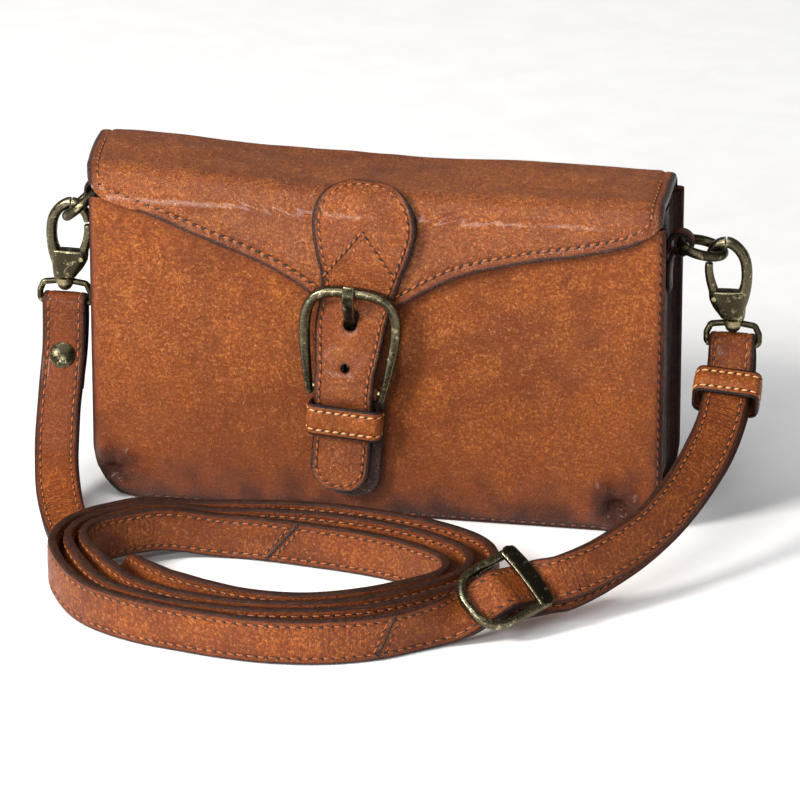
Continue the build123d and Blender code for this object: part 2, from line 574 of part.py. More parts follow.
def strap_run():
    """Outer layer of the doubled run, with the fold round the right eye."""
    centres, across, thick = route(RUN_ROUTE)
    x0, half = RIGHT["swivel_x"], STRAP_W / 2 - 0.25
    fold = rod((x0 - half, 0, EYE_BAR_Z), (x0 + half, 0, EYE_BAR_Z), 2.7 + FOLD_T / 2)
    above = box(x0 - 10, x0 + 10, -10, 10, EYE_BAR_Z, 80)
    bore = rod((x0 - 10, 0, EYE_BAR_Z), (x0 + 10, 0, EYE_BAR_Z), 2.7 - FOLD_T / 2)
    return ribbon(centres, across, thick) + (fold & above) - bore


def return_layer():
    """Centres and across directions of the inner layer."""
    centres, across, _ = route(RUN_ROUTE)
    gap = [g.X for g in smooth([(g, 0, 0) for g in RETURN_GAP], STEPS)]
    first = RETURN_START * STEPS
    moved = []
    for i in range(first, len(centres)):
        along = (centres[min(i + 1, len(centres) - 1)] - centres[i - 1]).normalized()
        moved.append(centres[i] - along.cross(across[i]).normalized() * gap[i - first])
    return moved, across[first:]


def strap_return():
    """Inner layer: from its fold round the slider's middle bar back up to the right eye."""
    centres, across = return_layer()
    ends = [at_slider(0, w, -SLIDER_BAR_DROP) for w in (-STRAP_W / 2, STRAP_W / 2)]
    bore_ends = [at_slider(0, w, -SLIDER_BAR_DROP) for w in (-STRAP_W, STRAP_W)]
    fold = rod(*ends, SLIDER_BAR_R + 1.45)
    strip = ribbon(centres, across, [RETURN_T] * len(centres))
    return strip + fold - rod(*bore_ends, SLIDER_BAR_R + 0.1)


def rivet_plane():
    """On the tail's middle below the left eye, facing out of the strap's front."""
    return Plane((-LEFT["swivel_x"], -4.5, 45), x_dir=(1, 0, 0), z_dir=(0, -0.9, 0.437))


def rivet_post():
    return extrude(rivet_plane() * Circle(1.5), amount=2.6, both=True)


def strap_rivet():
    """Domed cap and plain back cap on one post."""
    cap = Pos(0, 0, -5.35) * Sphere(8.65) & Pos(0, 0, 2.85) * Box(20, 20, 1.7)
    back = Pos(0, 0, -2.5) * Cylinder(4.2, 0.8)
    return rivet_plane().location * (cap + back) + rivet_post()


def slider_plane():
    return Plane(SLIDER_C, x_dir=SLIDER_ALONG, z_dir=SLIDER_UP)


def strap_slider():
    """Adjuster: round-ended wire loop, wide flat end bar, lowered middle bar."""
    half_l, half_w = SLIDER_HALF_L, SLIDER_HALF_W
    path = FilletPolyline((half_l, -half_w), (-half_l, -half_w), (-half_l, half_w), (half_l, half_w),
                          radius=7)
    loop = wire_loop(path, SLIDER_WIRE)
    end = Pos(half_l, 0, 0.9) * Box(5.6, 2 * half_w + 3, 1.9)
    end = fillet(end.edges().filter_by(Axis.Z), 1.5)
    drop = SLIDER_BAR_DROP
    middle = rod((0, -half_w, -drop), (0, half_w, -drop), SLIDER_BAR_R)
    arms = [rod((0, s * half_w, -drop), (0, s * half_w, 0), SLIDER_BAR_R) for s in (-1, 1)]
    return slider_plane().location * (loop + end + middle + arms[0] + arms[1])


def strap_keeper():
    """Leather loop round both layers of the run, near the right hook."""
    outer_layer, across, _ = route(RUN_ROUTE)
    inner_layer, _ = return_layer()
    i = min(range(len(outer_layer)), key=lambda k: abs(outer_layer[k].Z - KEEPER_Z))
    middle = (outer_layer[i] + inner_layer[i - RETURN_START * STEPS]) * 0.5
    along = (outer_layer[i + 1] - outer_layer[i - 1]).normalized()
    plane = Plane(middle, x_dir=across[i], z_dir=along)
    outer = RectangleRounded(STRAP_W + 7.6, 13.6, 3)
    inner = RectangleRounded(STRAP_W + 4.6, 11.0, 1.5)
    return extrude(plane * (outer - inner), amount=5.2, both=True)


# ---- write one file per sub-part ----
NODES = {
    "front_panel": front_panel, "back_panel": back_panel, "gusset": gusset,
    "front_padding": front_padding, "lining": lining, "pocket_panel": pocket_panel,
    "zip_tape": zip_tape, "zip_teeth": zip_teeth, "zip_slider": zip_slider, "zip_pull": zip_pull,
    "flap": lambda: flap_skin(0, FLAP_T, 0),
    "flap_lining": lambda: flap_skin(FLAP_T, FLAP_LINING_T, 3),
    "tab_upper": tab_upper, "tab_strap": tab_strap, "under_strap": under_strap,
    "buckle_frame": buckle_frame, "buckle_prong": buckle_prong, "tab_keeper": tab_keeper,
    "magnet_male": magnet_male, "magnet_female": magnet_female, "magnet_washer": magnet_washer,
    "strap_coil": strap_coil, "strap_drop": strap_drop, "strap_run": strap_run,
    "strap_return": strap_return, "strap_rivet": strap_rivet, "strap_slider": strap_slider,
    "strap_keeper": strap_keeper,
}
SIDE_NODES = {
    "ring_loop": ring_loop, "side_ring": side_ring, "hook_body": hook_body, "hook_gate": hook_gate,
    "gate_pin": gate_pin, "gate_spring": gate_spring, "swivel_post": swivel_post,
    "swivel_eye": swivel_eye,
}


def main():
    os.makedirs("parts", exist_ok=True)
    for name, make in NODES.items():
        export_step(make(), f"parts/{name}.step")
    for name, make in SIDE_NODES.items():
        export_step(make(LEFT), f"parts/{name}_left.step")
        export_step(make(RIGHT), f"parts/{name}_right.step")


main()
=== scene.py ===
import math
import random

import bpy
import numpy as np
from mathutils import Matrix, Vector, noise


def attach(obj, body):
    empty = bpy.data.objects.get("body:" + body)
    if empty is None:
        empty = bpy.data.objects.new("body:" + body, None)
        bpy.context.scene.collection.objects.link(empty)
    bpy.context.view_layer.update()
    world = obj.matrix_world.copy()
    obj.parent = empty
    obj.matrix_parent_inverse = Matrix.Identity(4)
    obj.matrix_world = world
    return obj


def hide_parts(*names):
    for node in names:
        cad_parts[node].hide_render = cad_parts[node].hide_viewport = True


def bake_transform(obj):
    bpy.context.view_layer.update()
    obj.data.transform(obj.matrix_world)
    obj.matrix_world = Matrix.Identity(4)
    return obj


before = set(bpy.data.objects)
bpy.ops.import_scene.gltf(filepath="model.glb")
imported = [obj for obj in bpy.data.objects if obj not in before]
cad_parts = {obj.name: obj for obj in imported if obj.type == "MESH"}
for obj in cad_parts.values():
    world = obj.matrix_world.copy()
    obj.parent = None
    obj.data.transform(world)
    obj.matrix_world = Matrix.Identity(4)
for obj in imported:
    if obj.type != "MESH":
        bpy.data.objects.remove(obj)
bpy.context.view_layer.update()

# Looks of the leather sling bag. Lengths are in millimetres in this script and are divided by
# 1000 when a mesh is made.
MM = 0.001
random.seed(5)

# ---- measures ----
PANEL_HALF, PANEL_CORNER = 100.0, 20.0
PANEL_Y, PANEL_INNER_Y = 22.5, 20.55
FRONT_TOP_Z, BACK_TOP_Z = 109.8, 112.0
TAB_X, TILT, TILT_Z = -3.0, math.radians(4.1), 110.0
FLAP_FRONT, FLAP_TOP, FLAP_CORNER = -25.5, 119.6, 12.5
FLAP_REAR, REAR_CORNER = 22.6, 6.0
FLAP_HALF, FLAP_SKIN, FLAP_BASE_Z = 98.4, 2.7, 70.0
BAR_Y, BAR_Z = -28.9, 48.0
BUCKLE_Y = -29.9
STRAP_W, STRAP_T, SEAM_INSET = 15.5, 3.4, 2.3
EYE_BAR_Z = 63.6
LEFT = {"sign": -1, "body": "left", "loop": (101.9, 105.3), "droop": 42.0, "swivel": 114.3}
RIGHT = {"sign": 1, "body": "right", "loop": (102.2, 98.9), "droop": 12.0, "swivel": 120.5}
PITS = [(-92.6, 10.4), (84.3, 9.8)]

FLAP_EDGE = [(-96.5, 111), (-83, 106.4), (-71.5, 102.2), (-60.5, 98), (-49, 93.9), (-38, 89.5),
             (-29.5, 85), (-21, 79.5), (-13, 75.5), (-5, 74.2), (2, 75.5), (10, 78.8), (18.5, 84),
             (27, 88.6), (35, 91.6), (44.5, 94.2), (57, 97), (71, 99.6), (88.5, 104.4), (97.5, 111)]

COIL_ROUTE = [
    (36, -140), (28, -147), (17, -153), (3, -157), (-12, -158), (-26, -156.2), (-40, -153.2),
    (-53, -149.5), (-65, -144), (-75.5, -136.5), (-84, -127.5), (-90, -117), (-92.3, -106),
    (-91.3, -95), (-87, -85.3), (-79.5, -77), (-70, -68.5), (-58, -60.8), (-45, -56.6),
    (-30, -54), (-15, -53), (0, -54.3), (14, -57), (27, -61.3), (38, -66.8), (47, -74),
    (52.5, -83), (54.2, -93.5), (52.3, -104), (47, -114.5), (39.5, -124), (31, -133),
    (20, -141), (6, -146.5), (-9, -149.6), (-24, -150), (-38, -148), (-51, -144),
    (-62.5, -138.4), (-73, -130.5), (-81, -121), (-86, -111.5), (-87.8, -102.5),
    (-86.2, -93.5), (-82, -86.3), (-74.5, -78.8), (-65, -71.5), (-53, -66.2), (-39, -63),
    (-24, -61.3), (-9, -61.8), (6, -64.3), (20, -68.6), (32, -74.6), (41, -81.5), (46, -90),
    (46.6, -99), (43.3, -108), (36.6, -117), (27.5, -126.5), (16, -135), (3, -140.5),
    (-11, -143.3), (-25, -143.3), (-38.5, -140.6), (-51, -135.8), (-62.5, -129), (-72, -121),
    (-79, -112.5), (-83, -103.5), (-82.2, -95.3), (-77.5, -88.8), (-69.5, -82), (-60, -75.5),
    (-49, -71), (-36, -69.6), (-22, -71), (-8, -73.3), (6, -76), (18, -80), (28.5, -85.5),
    (36.5, -92), (39.6, -99), (38.5, -106), (33, -113), (24.5, -121), (14, -128.6),
    (2, -133.8), (-11, -135.6), (-24, -133.8), (-37, -129), (-49.5, -122.8),
]
CROSSING, CROSSING_LIFT, CROSSING_CORE, CROSSING_REACH = (-84.0, -92.0), 4.3, 20.0, 50.0
# Rows of a strap's route: centre, direction across, thickness.
DROP_ROUTE = [
    (-60, -116.8, 8.2, 0.12, 0.12, 0.98, 3.4), (-68, -110.8, 7.3, 0.5, 0.45, 0.72, 3.4),
    (-74.5, -104, 3.4, 0.72, 0.6, 0.15, 3.4), (-80.5, -96, 1.9, 0.78, 0.62, 0, 3.4),
    (-86, -87.2, 1.85, 0.84, 0.53, 0, 3.4), (-91, -78, 1.8, 0.87, 0.48, 0, 3.4),
    (-96, -68, 2.2, 0.89, 0.45, 0.02, 3.4), (-101, -57.5, 3.7, 0.92, 0.36, 0.14, 3.4),
    (-105.5, -47, 7.0, 0.94, 0.26, 0.22, 3.4), (-109.3, -36, 11.6, 0.97, 0.15, 0.18, 3.4),
    (-112, -25.5, 18, 0.99, 0.08, 0.1, 3.4), (-113.5, -16.5, 27, 1, 0, 0.04, 3.4),
    (-114.1, -9.5, 36, 1, 0, 0, 3.4), (-114.3, -4.5, 45, 1, 0, 0, 3.4),
]
SLIDER_C = np.array([60.6, -119.4, 14.2])
SLIDER_ALONG = np.array([0.652, 0.727, 0.211])
SLIDER_ACROSS = np.array([-0.673, 0.446, 0.589])
SLIDER_UP = np.cross(SLIDER_ALONG, SLIDER_ACROSS)
SLIDER_BAR_UP = -3.5


def at_slider(along, across, up):
    return tuple(SLIDER_C + SLIDER_ALONG * along + SLIDER_ACROSS * across + SLIDER_UP * up)


RUN_ROUTE = [
    (36.3, -139.7, 7.8, 0, 0, 1, 3.4), (43.5, -132.8, 8.0, -0.15, 0.1, 0.98, 3.4),
    (*at_slider(-12.5, 0.6, -4.0), -0.65, 0.43, 0.62, 3.4),
    (*at_slider(-6.5, 0.4, -1.8), -0.673, 0.446, 0.589, 3.4),
    (*at_slider(0, 0, 1.4), -0.673, 0.446, 0.589, 3.4),
    (*at_slider(5.5, -0.4, -0.9), -0.673, 0.446, 0.589, 3.4),
    (*at_slider(10, -0.9, -2.5), -0.67, 0.44, 0.60, 3.4),
    (*at_slider(16, -2.6, -2.3), -0.58, 0.38, 0.70, 3.4),
    (80, -105.5, 15.6, -0.42, 0.28, 0.86, 3.4), (90.5, -95, 18, -0.34, 0.2, 0.92, 3.4),
    (101.3, -80, 22, -0.42, 0.12, 0.9, 3.4), (109.5, -64, 27.5, -0.6, 0, 0.8, 3.4),
    (115.5, -45, 34.5, -0.78, 0, 0.63, 3.4), (119.2, -28, 42, -0.9, 0, 0.43, 3.4),
    (120.5, -14.5, 50, -0.98, 0, 0.18, 3.4), (120.5, -5.8, 57, -1, 0, 0, 3.0),
    (120.5, -2.7, EYE_BAR_Z, -1, 0, 0, 2.6),
]
# The doubled end starts at this row of the run; its distance from the run at each row after that.
RETURN_FIRST = 4
RETURN_GAP = [6.0, 4.3, 3.5, 3.6, 4.3, 4.5, 4.8, 5.0, 5.2, 5.0, 5.0, 5.2, 5.4]


# ---- materials ----
def socket(value, links, target):
    """Sets a socket to a constant, or links it when value is another socket."""
    if isinstance(value, bpy.types.NodeSocket):
        links.new(value, target)
    else:
        target.default_value = value


class Graph:
    """Short hand for building a node tree."""

    def __init__(self, name):
        self.material = bpy.data.materials.new(name)
        self.material.use_nodes = True
        self.tree = self.material.node_tree
        self.links = self.tree.links
        self.shader = self.tree.nodes["Principled BSDF"]

    def node(self, kind, inputs=(), **settings):
        made = self.tree.nodes.new(kind)
        for key, value in settings.items():
            setattr(made, key, value)
        for key, value in dict(inputs).items():
            socket(value, self.links, made.inputs[key])
        return made

    def attribute(self, name):
        return self.node("ShaderNodeAttribute", attribute_name=name)

    def noise(self, vector, scale, detail=3.0, rough=0.55, distort=0.0):
        made = self.node("ShaderNodeTexNoise", {"Vector": vector, "Scale": scale, "Detail": detail,
                                                "Roughness": rough, "Distortion": distort})
        return made.outputs["Fac"]

    def cells(self, vector, scale):
        """Distance to the nearest border between cells."""
        made = self.node("ShaderNodeTexVoronoi", {"Vector": vector, "Scale": scale},
                         feature="DISTANCE_TO_EDGE")
        return made.outputs["Distance"]

    def range(self, value, low, high, to_low=0.0, to_high=1.0):
        made = self.node("ShaderNodeMapRange", {"Value": value, "From Min": low, "From Max": high,
                                                "To Min": to_low, "To Max": to_high})
        made.interpolation_type = "SMOOTHSTEP"
        return made.outputs["Result"]

    def math(self, operation, a, b=0.0, clamp=False):
        made = self.node("ShaderNodeMath", operation=operation, use_clamp=clamp)
        socket(a, self.links, made.inputs[0])
        socket(b, self.links, made.inputs[1])
        return made.outputs[0]

    def mix(self, share, a, b):
        made = self.node("ShaderNodeMix", data_type="RGBA")
        socket(share, self.links, made.inputs[0])
        socket(a, self.links, made.inputs[6])
        socket(b, self.links, made.inputs[7])
        return made.outputs[2]

    def stretch(self, vector, factors):
        made = self.node("ShaderNodeVectorMath", {0: vector, 1: factors}, operation="MULTIPLY")
        return made.outputs[0]

    def bump(self, height, distance, strength=1.0, normal=None):
        made = self.node("ShaderNodeBump", {"Height": height, "Distance": distance,
                                            "Strength": strength})
        if normal is not None:
            self.links.new(normal, made.inputs["Normal"])
        return made.outputs["Normal"]

    def finish(self, color, roughness, normal=None, **fixed):
        socket(color, self.links, self.shader.inputs["Base Color"])
        socket(roughness, self.links, self.shader.inputs["Roughness"])
        if normal is not None:
            self.links.new(normal, self.shader.inputs["Normal"])
        for key, value in fixed.items():
            self.shader.inputs[key.replace("_", " ")].default_value = value
        return self.material


def rgb(r, g, b):
    """An sRGB colour, 0 to 255, as linear RGBA."""
    parts = [v / 255 for v in (r, g, b)]
    return (*[v / 12.92 if v <= 0.04045 else ((v + 0.055) / 1.055) ** 2.4 for v in parts], 1.0)


def rest_place(g, on_node=False):
    """Rest position in millimetres, from the mesh's own attribute or a CAD node's coordinates."""
    if on_node:
        coords = g.node("ShaderNodeTexCoord").outputs["Object"]
        return g.stretch(coords, (1000.0, 1000.0, 1000.0))
    return g.attribute("rest").outputs["Vector"]


def leather(name, light, mid, dark, burnt_and_shaded, pale=(0.72, 0.34, 0.11, 1.0), grain=1.0, rough=0.36,
            sheen=0.22, creases=0.6, flow=False, on_node=False):
    """Oiled cowhide: clouded colour, pebble grain, fine creases, darkened as burnish where worn and
    as painted shade where shade falls.

    With flow, wrinkles run across the strap's length; otherwise the skin is softly uneven.
    """
    g = Graph(name)
    place = rest_place(g, on_node)
    cloud = g.noise(place, 0.022, 4.0, 0.55, 0.4)
    patch = g.noise(place, 0.10, 5.0, 0.62, 0.2)
    streak = g.noise(g.stretch(place, (1.0, 1.0, 0.16)), 0.16, 4.0, 0.6)
    speck = g.noise(place, 1.0, 5.0, 0.72)
    shift = g.node("ShaderNodeTexNoise", {"Vector": place, "Scale": 0.9, "Detail": 2.0})
    bent = g.node("ShaderNodeVectorMath", {0: place, 1: shift.outputs["Color"]},
                  operation="ADD").outputs[0]
    web = g.range(g.cells(bent, 1.05), 0.0, 0.20)
    fine = g.range(g.cells(bent, 2.0), 0.0, 0.24)
    color = g.mix(g.range(cloud, 0.34, 0.66), dark, mid)
    color = g.mix(g.range(patch, 0.36, 0.72, 0.0, 0.62), color, light)
    color = g.mix(g.range(streak, 0.5, 0.72, 0.0, 0.34), color, dark)
    color = g.mix(g.range(speck, 0.57, 0.43, 0.0, 0.80), color, dark)
    color = g.mix(g.range(speck, 0.55, 0.68, 0.0, 0.52), color, pale)
    # darker grain creases: partly the leather's own tone, partly painted shade in the creases
    color = g.mix(g.math("MULTIPLY", g.math("SUBTRACT", 1.0, web), 0.40 * grain), color, dark)
    # On CAD nodes a random cloud darkens the colour; on meshes a per-point attribute does, holding
    # both burnish where worn and painted shade.
    if on_node:
        burn_and_shade = g.range(cloud, 0.5, 0.75, 0.0, 0.4)
    else:
        burn_and_shade = g.attribute("burn_and_shade").outputs["Fac"]
        ragged = g.math("MULTIPLY", burn_and_shade, g.range(patch, 0.2, 0.7, 0.8, 1.2), clamp=True)
        color = g.mix(g.math("MINIMUM", g.math("MULTIPLY", ragged, 1.5), 1.0), color, dark)
        burn_and_shade = g.range(ragged, 0.30, 1.0)
    color = g.mix(g.math("MULTIPLY", burn_and_shade, 0.92), color, burnt_and_shaded)
    fold = g.noise(g.stretch(place, (0.35, 0.35, 0.9)), 0.7, 5.0, 0.62, 1.0)
    valley = g.range(g.math("ABSOLUTE", g.math("SUBTRACT", fold, 0.5)), 0.0, 0.045)
    height = g.math("MULTIPLY", web, 0.30 * grain)
    for part, share in ((fine, 0.10 * grain), (valley, 0.3 * creases), (speck, 0.75 * grain)):
        height = g.math("ADD", height, g.math("MULTIPLY", part, share))
    normal = g.bump(height, 0.00052, 1.0)
    if flow:
        along = g.attribute("flow").outputs["Vector"]
        cross = g.noise(g.stretch(along, (0.85, 0.07, 1.0)), 1.0, 3.0, 0.5, 0.3)
        where = g.noise(g.stretch(along, (0.018, 0.0, 0.0)), 1.0, 1.0)
        where = g.range(where, 0.42, 0.62, 0.15, 1.0)
        normal = g.bump(g.math("MULTIPLY", cross, where), 0.0011, 0.9, normal)
    else:
        normal = g.bump(g.noise(place, 0.16, 3.0, 0.5), 0.0016, 0.6, normal)
    gloss = g.range(g.noise(place, 0.22, 3.0, 0.6), 0.3, 0.7, rough - 0.06, rough + 0.12)
    return g.finish(color, gloss, normal, Specular_IOR_Level=sheen, Coat_Weight=sheen * 0.34,
                    Coat_Roughness=0.16)


def cut_edge(name, light, dark, rough=0.62):
    """Raw cut edge of thick leather: fibres in layers, brown dye rubbed off in places."""
    g = Graph(name)
    place = rest_place(g)
    fibre = g.noise(g.stretch(place, (1.0, 1.0, 2.6)), 0.9, 5.0, 0.7, 0.6)
    blotch = g.noise(place, 0.12, 3.0, 0.6)
    color = g.mix(g.range(fibre, 0.35, 0.68), dark, light)
    color = g.mix(g.range(blotch, 0.45, 0.7, 0.0, 0.6), color, dark)
    return g.finish(color, rough, g.bump(fibre, 0.0005, 0.8), Specular_IOR_Level=0.22)


def thread(name, color, shade):
    g = Graph(name)
    place = rest_place(g)
    strand = g.noise(place, 2.2, 2.0, 0.5)
    return g.finish(g.mix(g.range(strand, 0.3, 0.7), shade, color), 0.6,
                    g.bump(strand, 0.0001, 0.6))


def metal(name, dark, worn, polish=0.36, on_node=False):
    """Antique brass: dark patina, rubbed bright on its high edges."""
    g = Graph(name)
    place = rest_place(g, on_node)
    cloud = g.noise(place, 0.35, 5.0, 0.65)
    pit = g.noise(place, 1.6, 5.0, 0.7)
    point = g.node("ShaderNodeNewGeometry").outputs["Pointiness"]
    rubbed = g.math("ADD", g.range(point, 0.50, 0.60, 0.0, 0.8),
                    g.range(cloud, 0.54, 0.72, 0.0, 0.75), clamp=True)
    rubbed = g.math("MULTIPLY", rubbed, g.range(pit, 0.35, 0.6, 0.35, 1.0))
    color = g.mix(rubbed, dark, worn)
    rough = g.range(pit, 0.3, 0.7, polish - 0.08, polish + 0.14)
    return g.finish(color, rough, g.bump(pit, 0.00008, 0.5), Metallic=0.95)


def cloth(name, light, dark, pitch=0.45):
    """Cotton twill on a CAD node."""
    g = Graph(name)
    place = rest_place(g, on_node=True)
    x, y, z = g.node("ShaderNodeSeparateXYZ", {0: place}).outputs
    line, weft = [g.math("SINE", g.math("MULTIPLY", g.math("ADD", axis, z), 6.283 / pitch))
                  for axis in (x, y)]
    weave = g.math("MULTIPLY", g.math("ADD", line, weft), 0.5)
    soil = g.noise(place, 0.08, 4.0, 0.6)
    color = g.mix(g.range(weave, -0.8, 0.8), dark, light)
    color = g.mix(g.range(soil, 0.4, 0.7, 0.0, 0.4), color, dark)
    return g.finish(color, 0.85, g.bump(weave, 0.0001, 0.6), Sheen_Weight=0.2)


LIGHT, MID = rgb(194, 112, 38), rgb(166, 86, 23)
# the darkest brown, mixed in both as burnish and as painted shade
DARK, BURNT_AND_SHADED = rgb(110, 49, 11), rgb(46, 17, 6)
TAN, WARM, BROWN = rgb(190, 108, 36), rgb(164, 84, 23), rgb(112, 50, 12)
HIDE, RUSSET, UMBER = rgb(174, 95, 30), rgb(146, 71, 19), rgb(96, 41, 10)
NEAR_BLACK = rgb(17, 9, 6)
M = {
    "body": leather("body_leather", LIGHT, MID, DARK, BURNT_AND_SHADED, rough=0.33, sheen=0.24),
    "flap": leather("flap_leather_grain", LIGHT, MID, DARK, BURNT_AND_SHADED, grain=1.15, rough=0.28,
                    sheen=0.46),
    "tab": leather("tab_leather_grain", TAN, WARM, BROWN, NEAR_BLACK, grain=1.1, creases=0.4,
                   rough=0.27, sheen=0.38),
    "strap": leather("strap_leather_grain", HIDE, RUSSET, UMBER, BURNT_AND_SHADED,
                     pale=(0.60, 0.26, 0.07, 1.0), grain=0.8, rough=0.37, creases=0.3, flow=True),
    "keeper": leather("keeper_leather", rgb(184, 108, 37), rgb(163, 87, 26), rgb(116, 54, 14),
                      BURNT_AND_SHADED, grain=0.7, rough=0.34, creases=0.3),
    "gusset": leather("gusset_leather", rgb(70, 34, 17), rgb(54, 25, 13), rgb(36, 17, 10),
                      rgb(20, 10, 7), pale=(0.09, 0.035, 0.018, 1.0), grain=0.8, rough=0.45,
                      sheen=0.10),
    "loop": leather("loop_leather", rgb(132, 64, 34), rgb(108, 50, 27), rgb(72, 33, 19), BURNT_AND_SHADED,
                    pale=(0.3, 0.1, 0.03, 1.0), grain=0.6),
    "edge": cut_edge("cut_edge", rgb(72, 38, 22), rgb(24, 12, 8)),
    "edge_dark": cut_edge("dyed_edge", rgb(42, 21, 17), rgb(16, 9, 8), 0.36),
    "suede": cut_edge("flesh_side", rgb(112, 70, 42), rgb(70, 40, 25)),
    "thread": thread("seam_thread", rgb(172, 96, 42), rgb(96, 46, 18)),
    "thread_dark": thread("border_thread", rgb(120, 58, 28), rgb(74, 34, 18)),
    "thread_light": thread("keeper_thread", rgb(236, 178, 118), rgb(192, 122, 66)),
    # near-black blobs stand for the shade in stitch holes and along the scarf joints: painted shade
    "hole": thread("stitch_hole_shade", rgb(26, 11, 6), rgb(11, 5, 3)),
    "brass": metal("antique_brass_finish", rgb(46, 41, 29), rgb(214, 200, 158), 0.20),
    "brass_node": metal("antique_brass_plain", rgb(54, 49, 37), rgb(180, 166, 124), 0.30,
                        on_node=True),
    "zip": metal("zip_brass", rgb(120, 98, 58), rgb(200, 178, 120), on_node=True),
    "steel": metal("spring_wire", rgb(120, 120, 118), rgb(190, 190, 186), on_node=True),
    "lining": cloth("lining_twill", rgb(120, 96, 74), rgb(84, 66, 52)),
    "tape": cloth("zip_tape_weave", rgb(92, 70, 54), rgb(60, 46, 38), 0.6),
    "felt": cloth("felt_board", rgb(150, 136, 112), rgb(118, 104, 84), 0.9),
    "pull": leather("pull_leather", TAN, WARM, BROWN, BURNT_AND_SHADED, on_node=True),
}


# ---- mesh tools ----
def add_object(name, data):
    made = bpy.data.objects.new(name, data)
    bpy.context.scene.collection.objects.link(made)
    return made


def make_piece(name, verts, faces, materials, body, slot=None, picks=None, burn_and_shade=None, flow=None,
               sharp=50.0, replaces=()):
    """A mesh piece from millimetre points; picks is each face's place in the materials."""
    mesh = bpy.data.meshes.new(name)
    points = np.asarray(verts, float)
    mesh.from_pydata((points * MM).tolist(), [], [list(map(int, f)) for f in faces])
    mesh.validate()
    for m in materials:
        mesh.materials.append(m)
    if picks is not None and len(mesh.polygons) == len(picks):
        mesh.polygons.foreach_set("material_index", np.asarray(picks, np.int32))
    rest = mesh.attributes.new("rest", "FLOAT_VECTOR", "POINT")
    rest.data.foreach_set("vector", points.astype(np.float32).ravel())
    if burn_and_shade is not None:
        mesh.attributes.new("burn_and_shade", "FLOAT", "POINT").data.foreach_set(
            "value", np.asarray(burn_and_shade, np.float32))
    if flow is not None:
        mesh.attributes.new("flow", "FLOAT_VECTOR", "POINT").data.foreach_set(
            "vector", np.asarray(flow, np.float32).ravel())
    mesh.polygons.foreach_set("use_smooth", [True] * len(mesh.polygons))
    mesh.set_sharp_from_angle(angle=math.radians(sharp))
    piece = add_object(name, mesh)
    if body:
        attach(piece, body)
    if replaces:
        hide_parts(*replaces)
    return piece


def leather_piece(name, look, body, shape, burn_and_shade, *replaced):
    """A cut piece of thick leather; shape is its points, faces and picks."""
    pts, faces, picks = shape
    return make_piece(name, pts, faces, [M[look], M["suede"], M["edge_dark"]], body, "tan_leather",
                      picks=picks, burn_and_shade=burn_and_shade, replaces=replaced)


def fade(distance, reach):
    """1 up to a distance of 0, dying away beyond it."""
    return math.exp(-max(distance, 0) / reach)


def hump(offset, width):
    """A smooth rise that is 1 where offset is 0."""
    return math.exp(-(offset / width) ** 2)


def circle(count):
    return np.linspace(0, 2 * math.pi, count, endpoint=False)


def unit(v):
    return v / np.maximum(np.linalg.norm(v, axis=-1, keepdims=True), 1e-9)


def catmull(rows, steps=8):
    p = np.asarray(rows, float)
    p = np.vstack([2 * p[0] - p[1], p, 2 * p[-1] - p[-2]])
    u = (np.arange(steps) / steps)[:, None]
    out = [0.5 * (2 * b + (c - a) * u + (2 * a - 5 * b + 4 * c - d) * u ** 2
                  + (3 * b - a - 3 * c + d) * u ** 3) for a, b, c, d in zip(p, p[1:], p[2:], p[3:])]
    return np.vstack(out + [p[-2:-1]])


def arc_length(points):
    return np.concatenate([[0], np.cumsum(np.linalg.norm(np.diff(points, axis=0), axis=1))])


def evenly(rows, step, dims=3):
    """Rows resampled at an even spacing of their first dims columns."""
    s = arc_length(rows[:, :dims])
    t = np.linspace(0, s[-1], max(2, int(round(s[-1] / step)) + 1))
    return np.column_stack([np.interp(t, s, rows[:, k]) for k in range(rows.shape[1])]), t


def grid_faces(n, m, offset=0, wrap=False):
    """Quads over n rows of m points; wrap joins each row's ends."""
    faces = []
    for i in range(n - 1):
        for j in range(m if wrap else m - 1):
            k, low, high = (j + 1) % m, offset + i * m, offset + (i + 1) * m
            faces.append((low + j, low + k, high + k, high + j))
    return faces


def caps(n, m, offset=0):
    """The two end faces of a tube of n rings of m points."""
    last = offset + (n - 1) * m
    return [tuple(range(offset, offset + m))[::-1], tuple(range(last, last + m))]


def lathe(rows, count, place):
    """Rows of (along, radius) turned round an axis; place(along, a, b) gives each point."""
    points = [place(along, r * math.cos(t), r * math.sin(t)) for along, r in rows
              for t in circle(count)]
    return np.array(points), grid_faces(len(rows), count, wrap=True)


def swept(centres, side, face, profile, closed=False):
    """Points and faces of a profile carried along a line. profile is (m, 2) or (n, m, 2)."""
    n = len(centres)
    prof = np.broadcast_to(profile, (n, *np.shape(profile)[-2:]))
    pts = centres[:, None] + side[:, None] * prof[..., :1] + face[:, None] * prof[..., 1:]
    m = prof.shape[1]
    faces = grid_faces(n, m, wrap=True)
    if closed:
        faces += [((n - 1) * m + j, (n - 1) * m + (j + 1) % m, (j + 1) % m, j) for j in range(m)]
    else:
        faces += caps(n, m)
    return pts.reshape(-1, 3), faces


def line_frames(centres, up):
    """Unit side (nearest to up) and face directions along a line."""
    along = unit(np.gradient(centres, axis=0))
    up = np.broadcast_to(np.asarray(up, float), centres.shape)
    side = unit(up - along * (along * up).sum(1, keepdims=True))
    return side, np.cross(along, side)


def join(parts):
    verts, faces, start = [], [], 0
    for pts, made in parts:
        verts.append(pts)
        faces += [tuple(v + start for v in f) for f in made]
        start += len(pts)
    return np.vstack(verts), faces


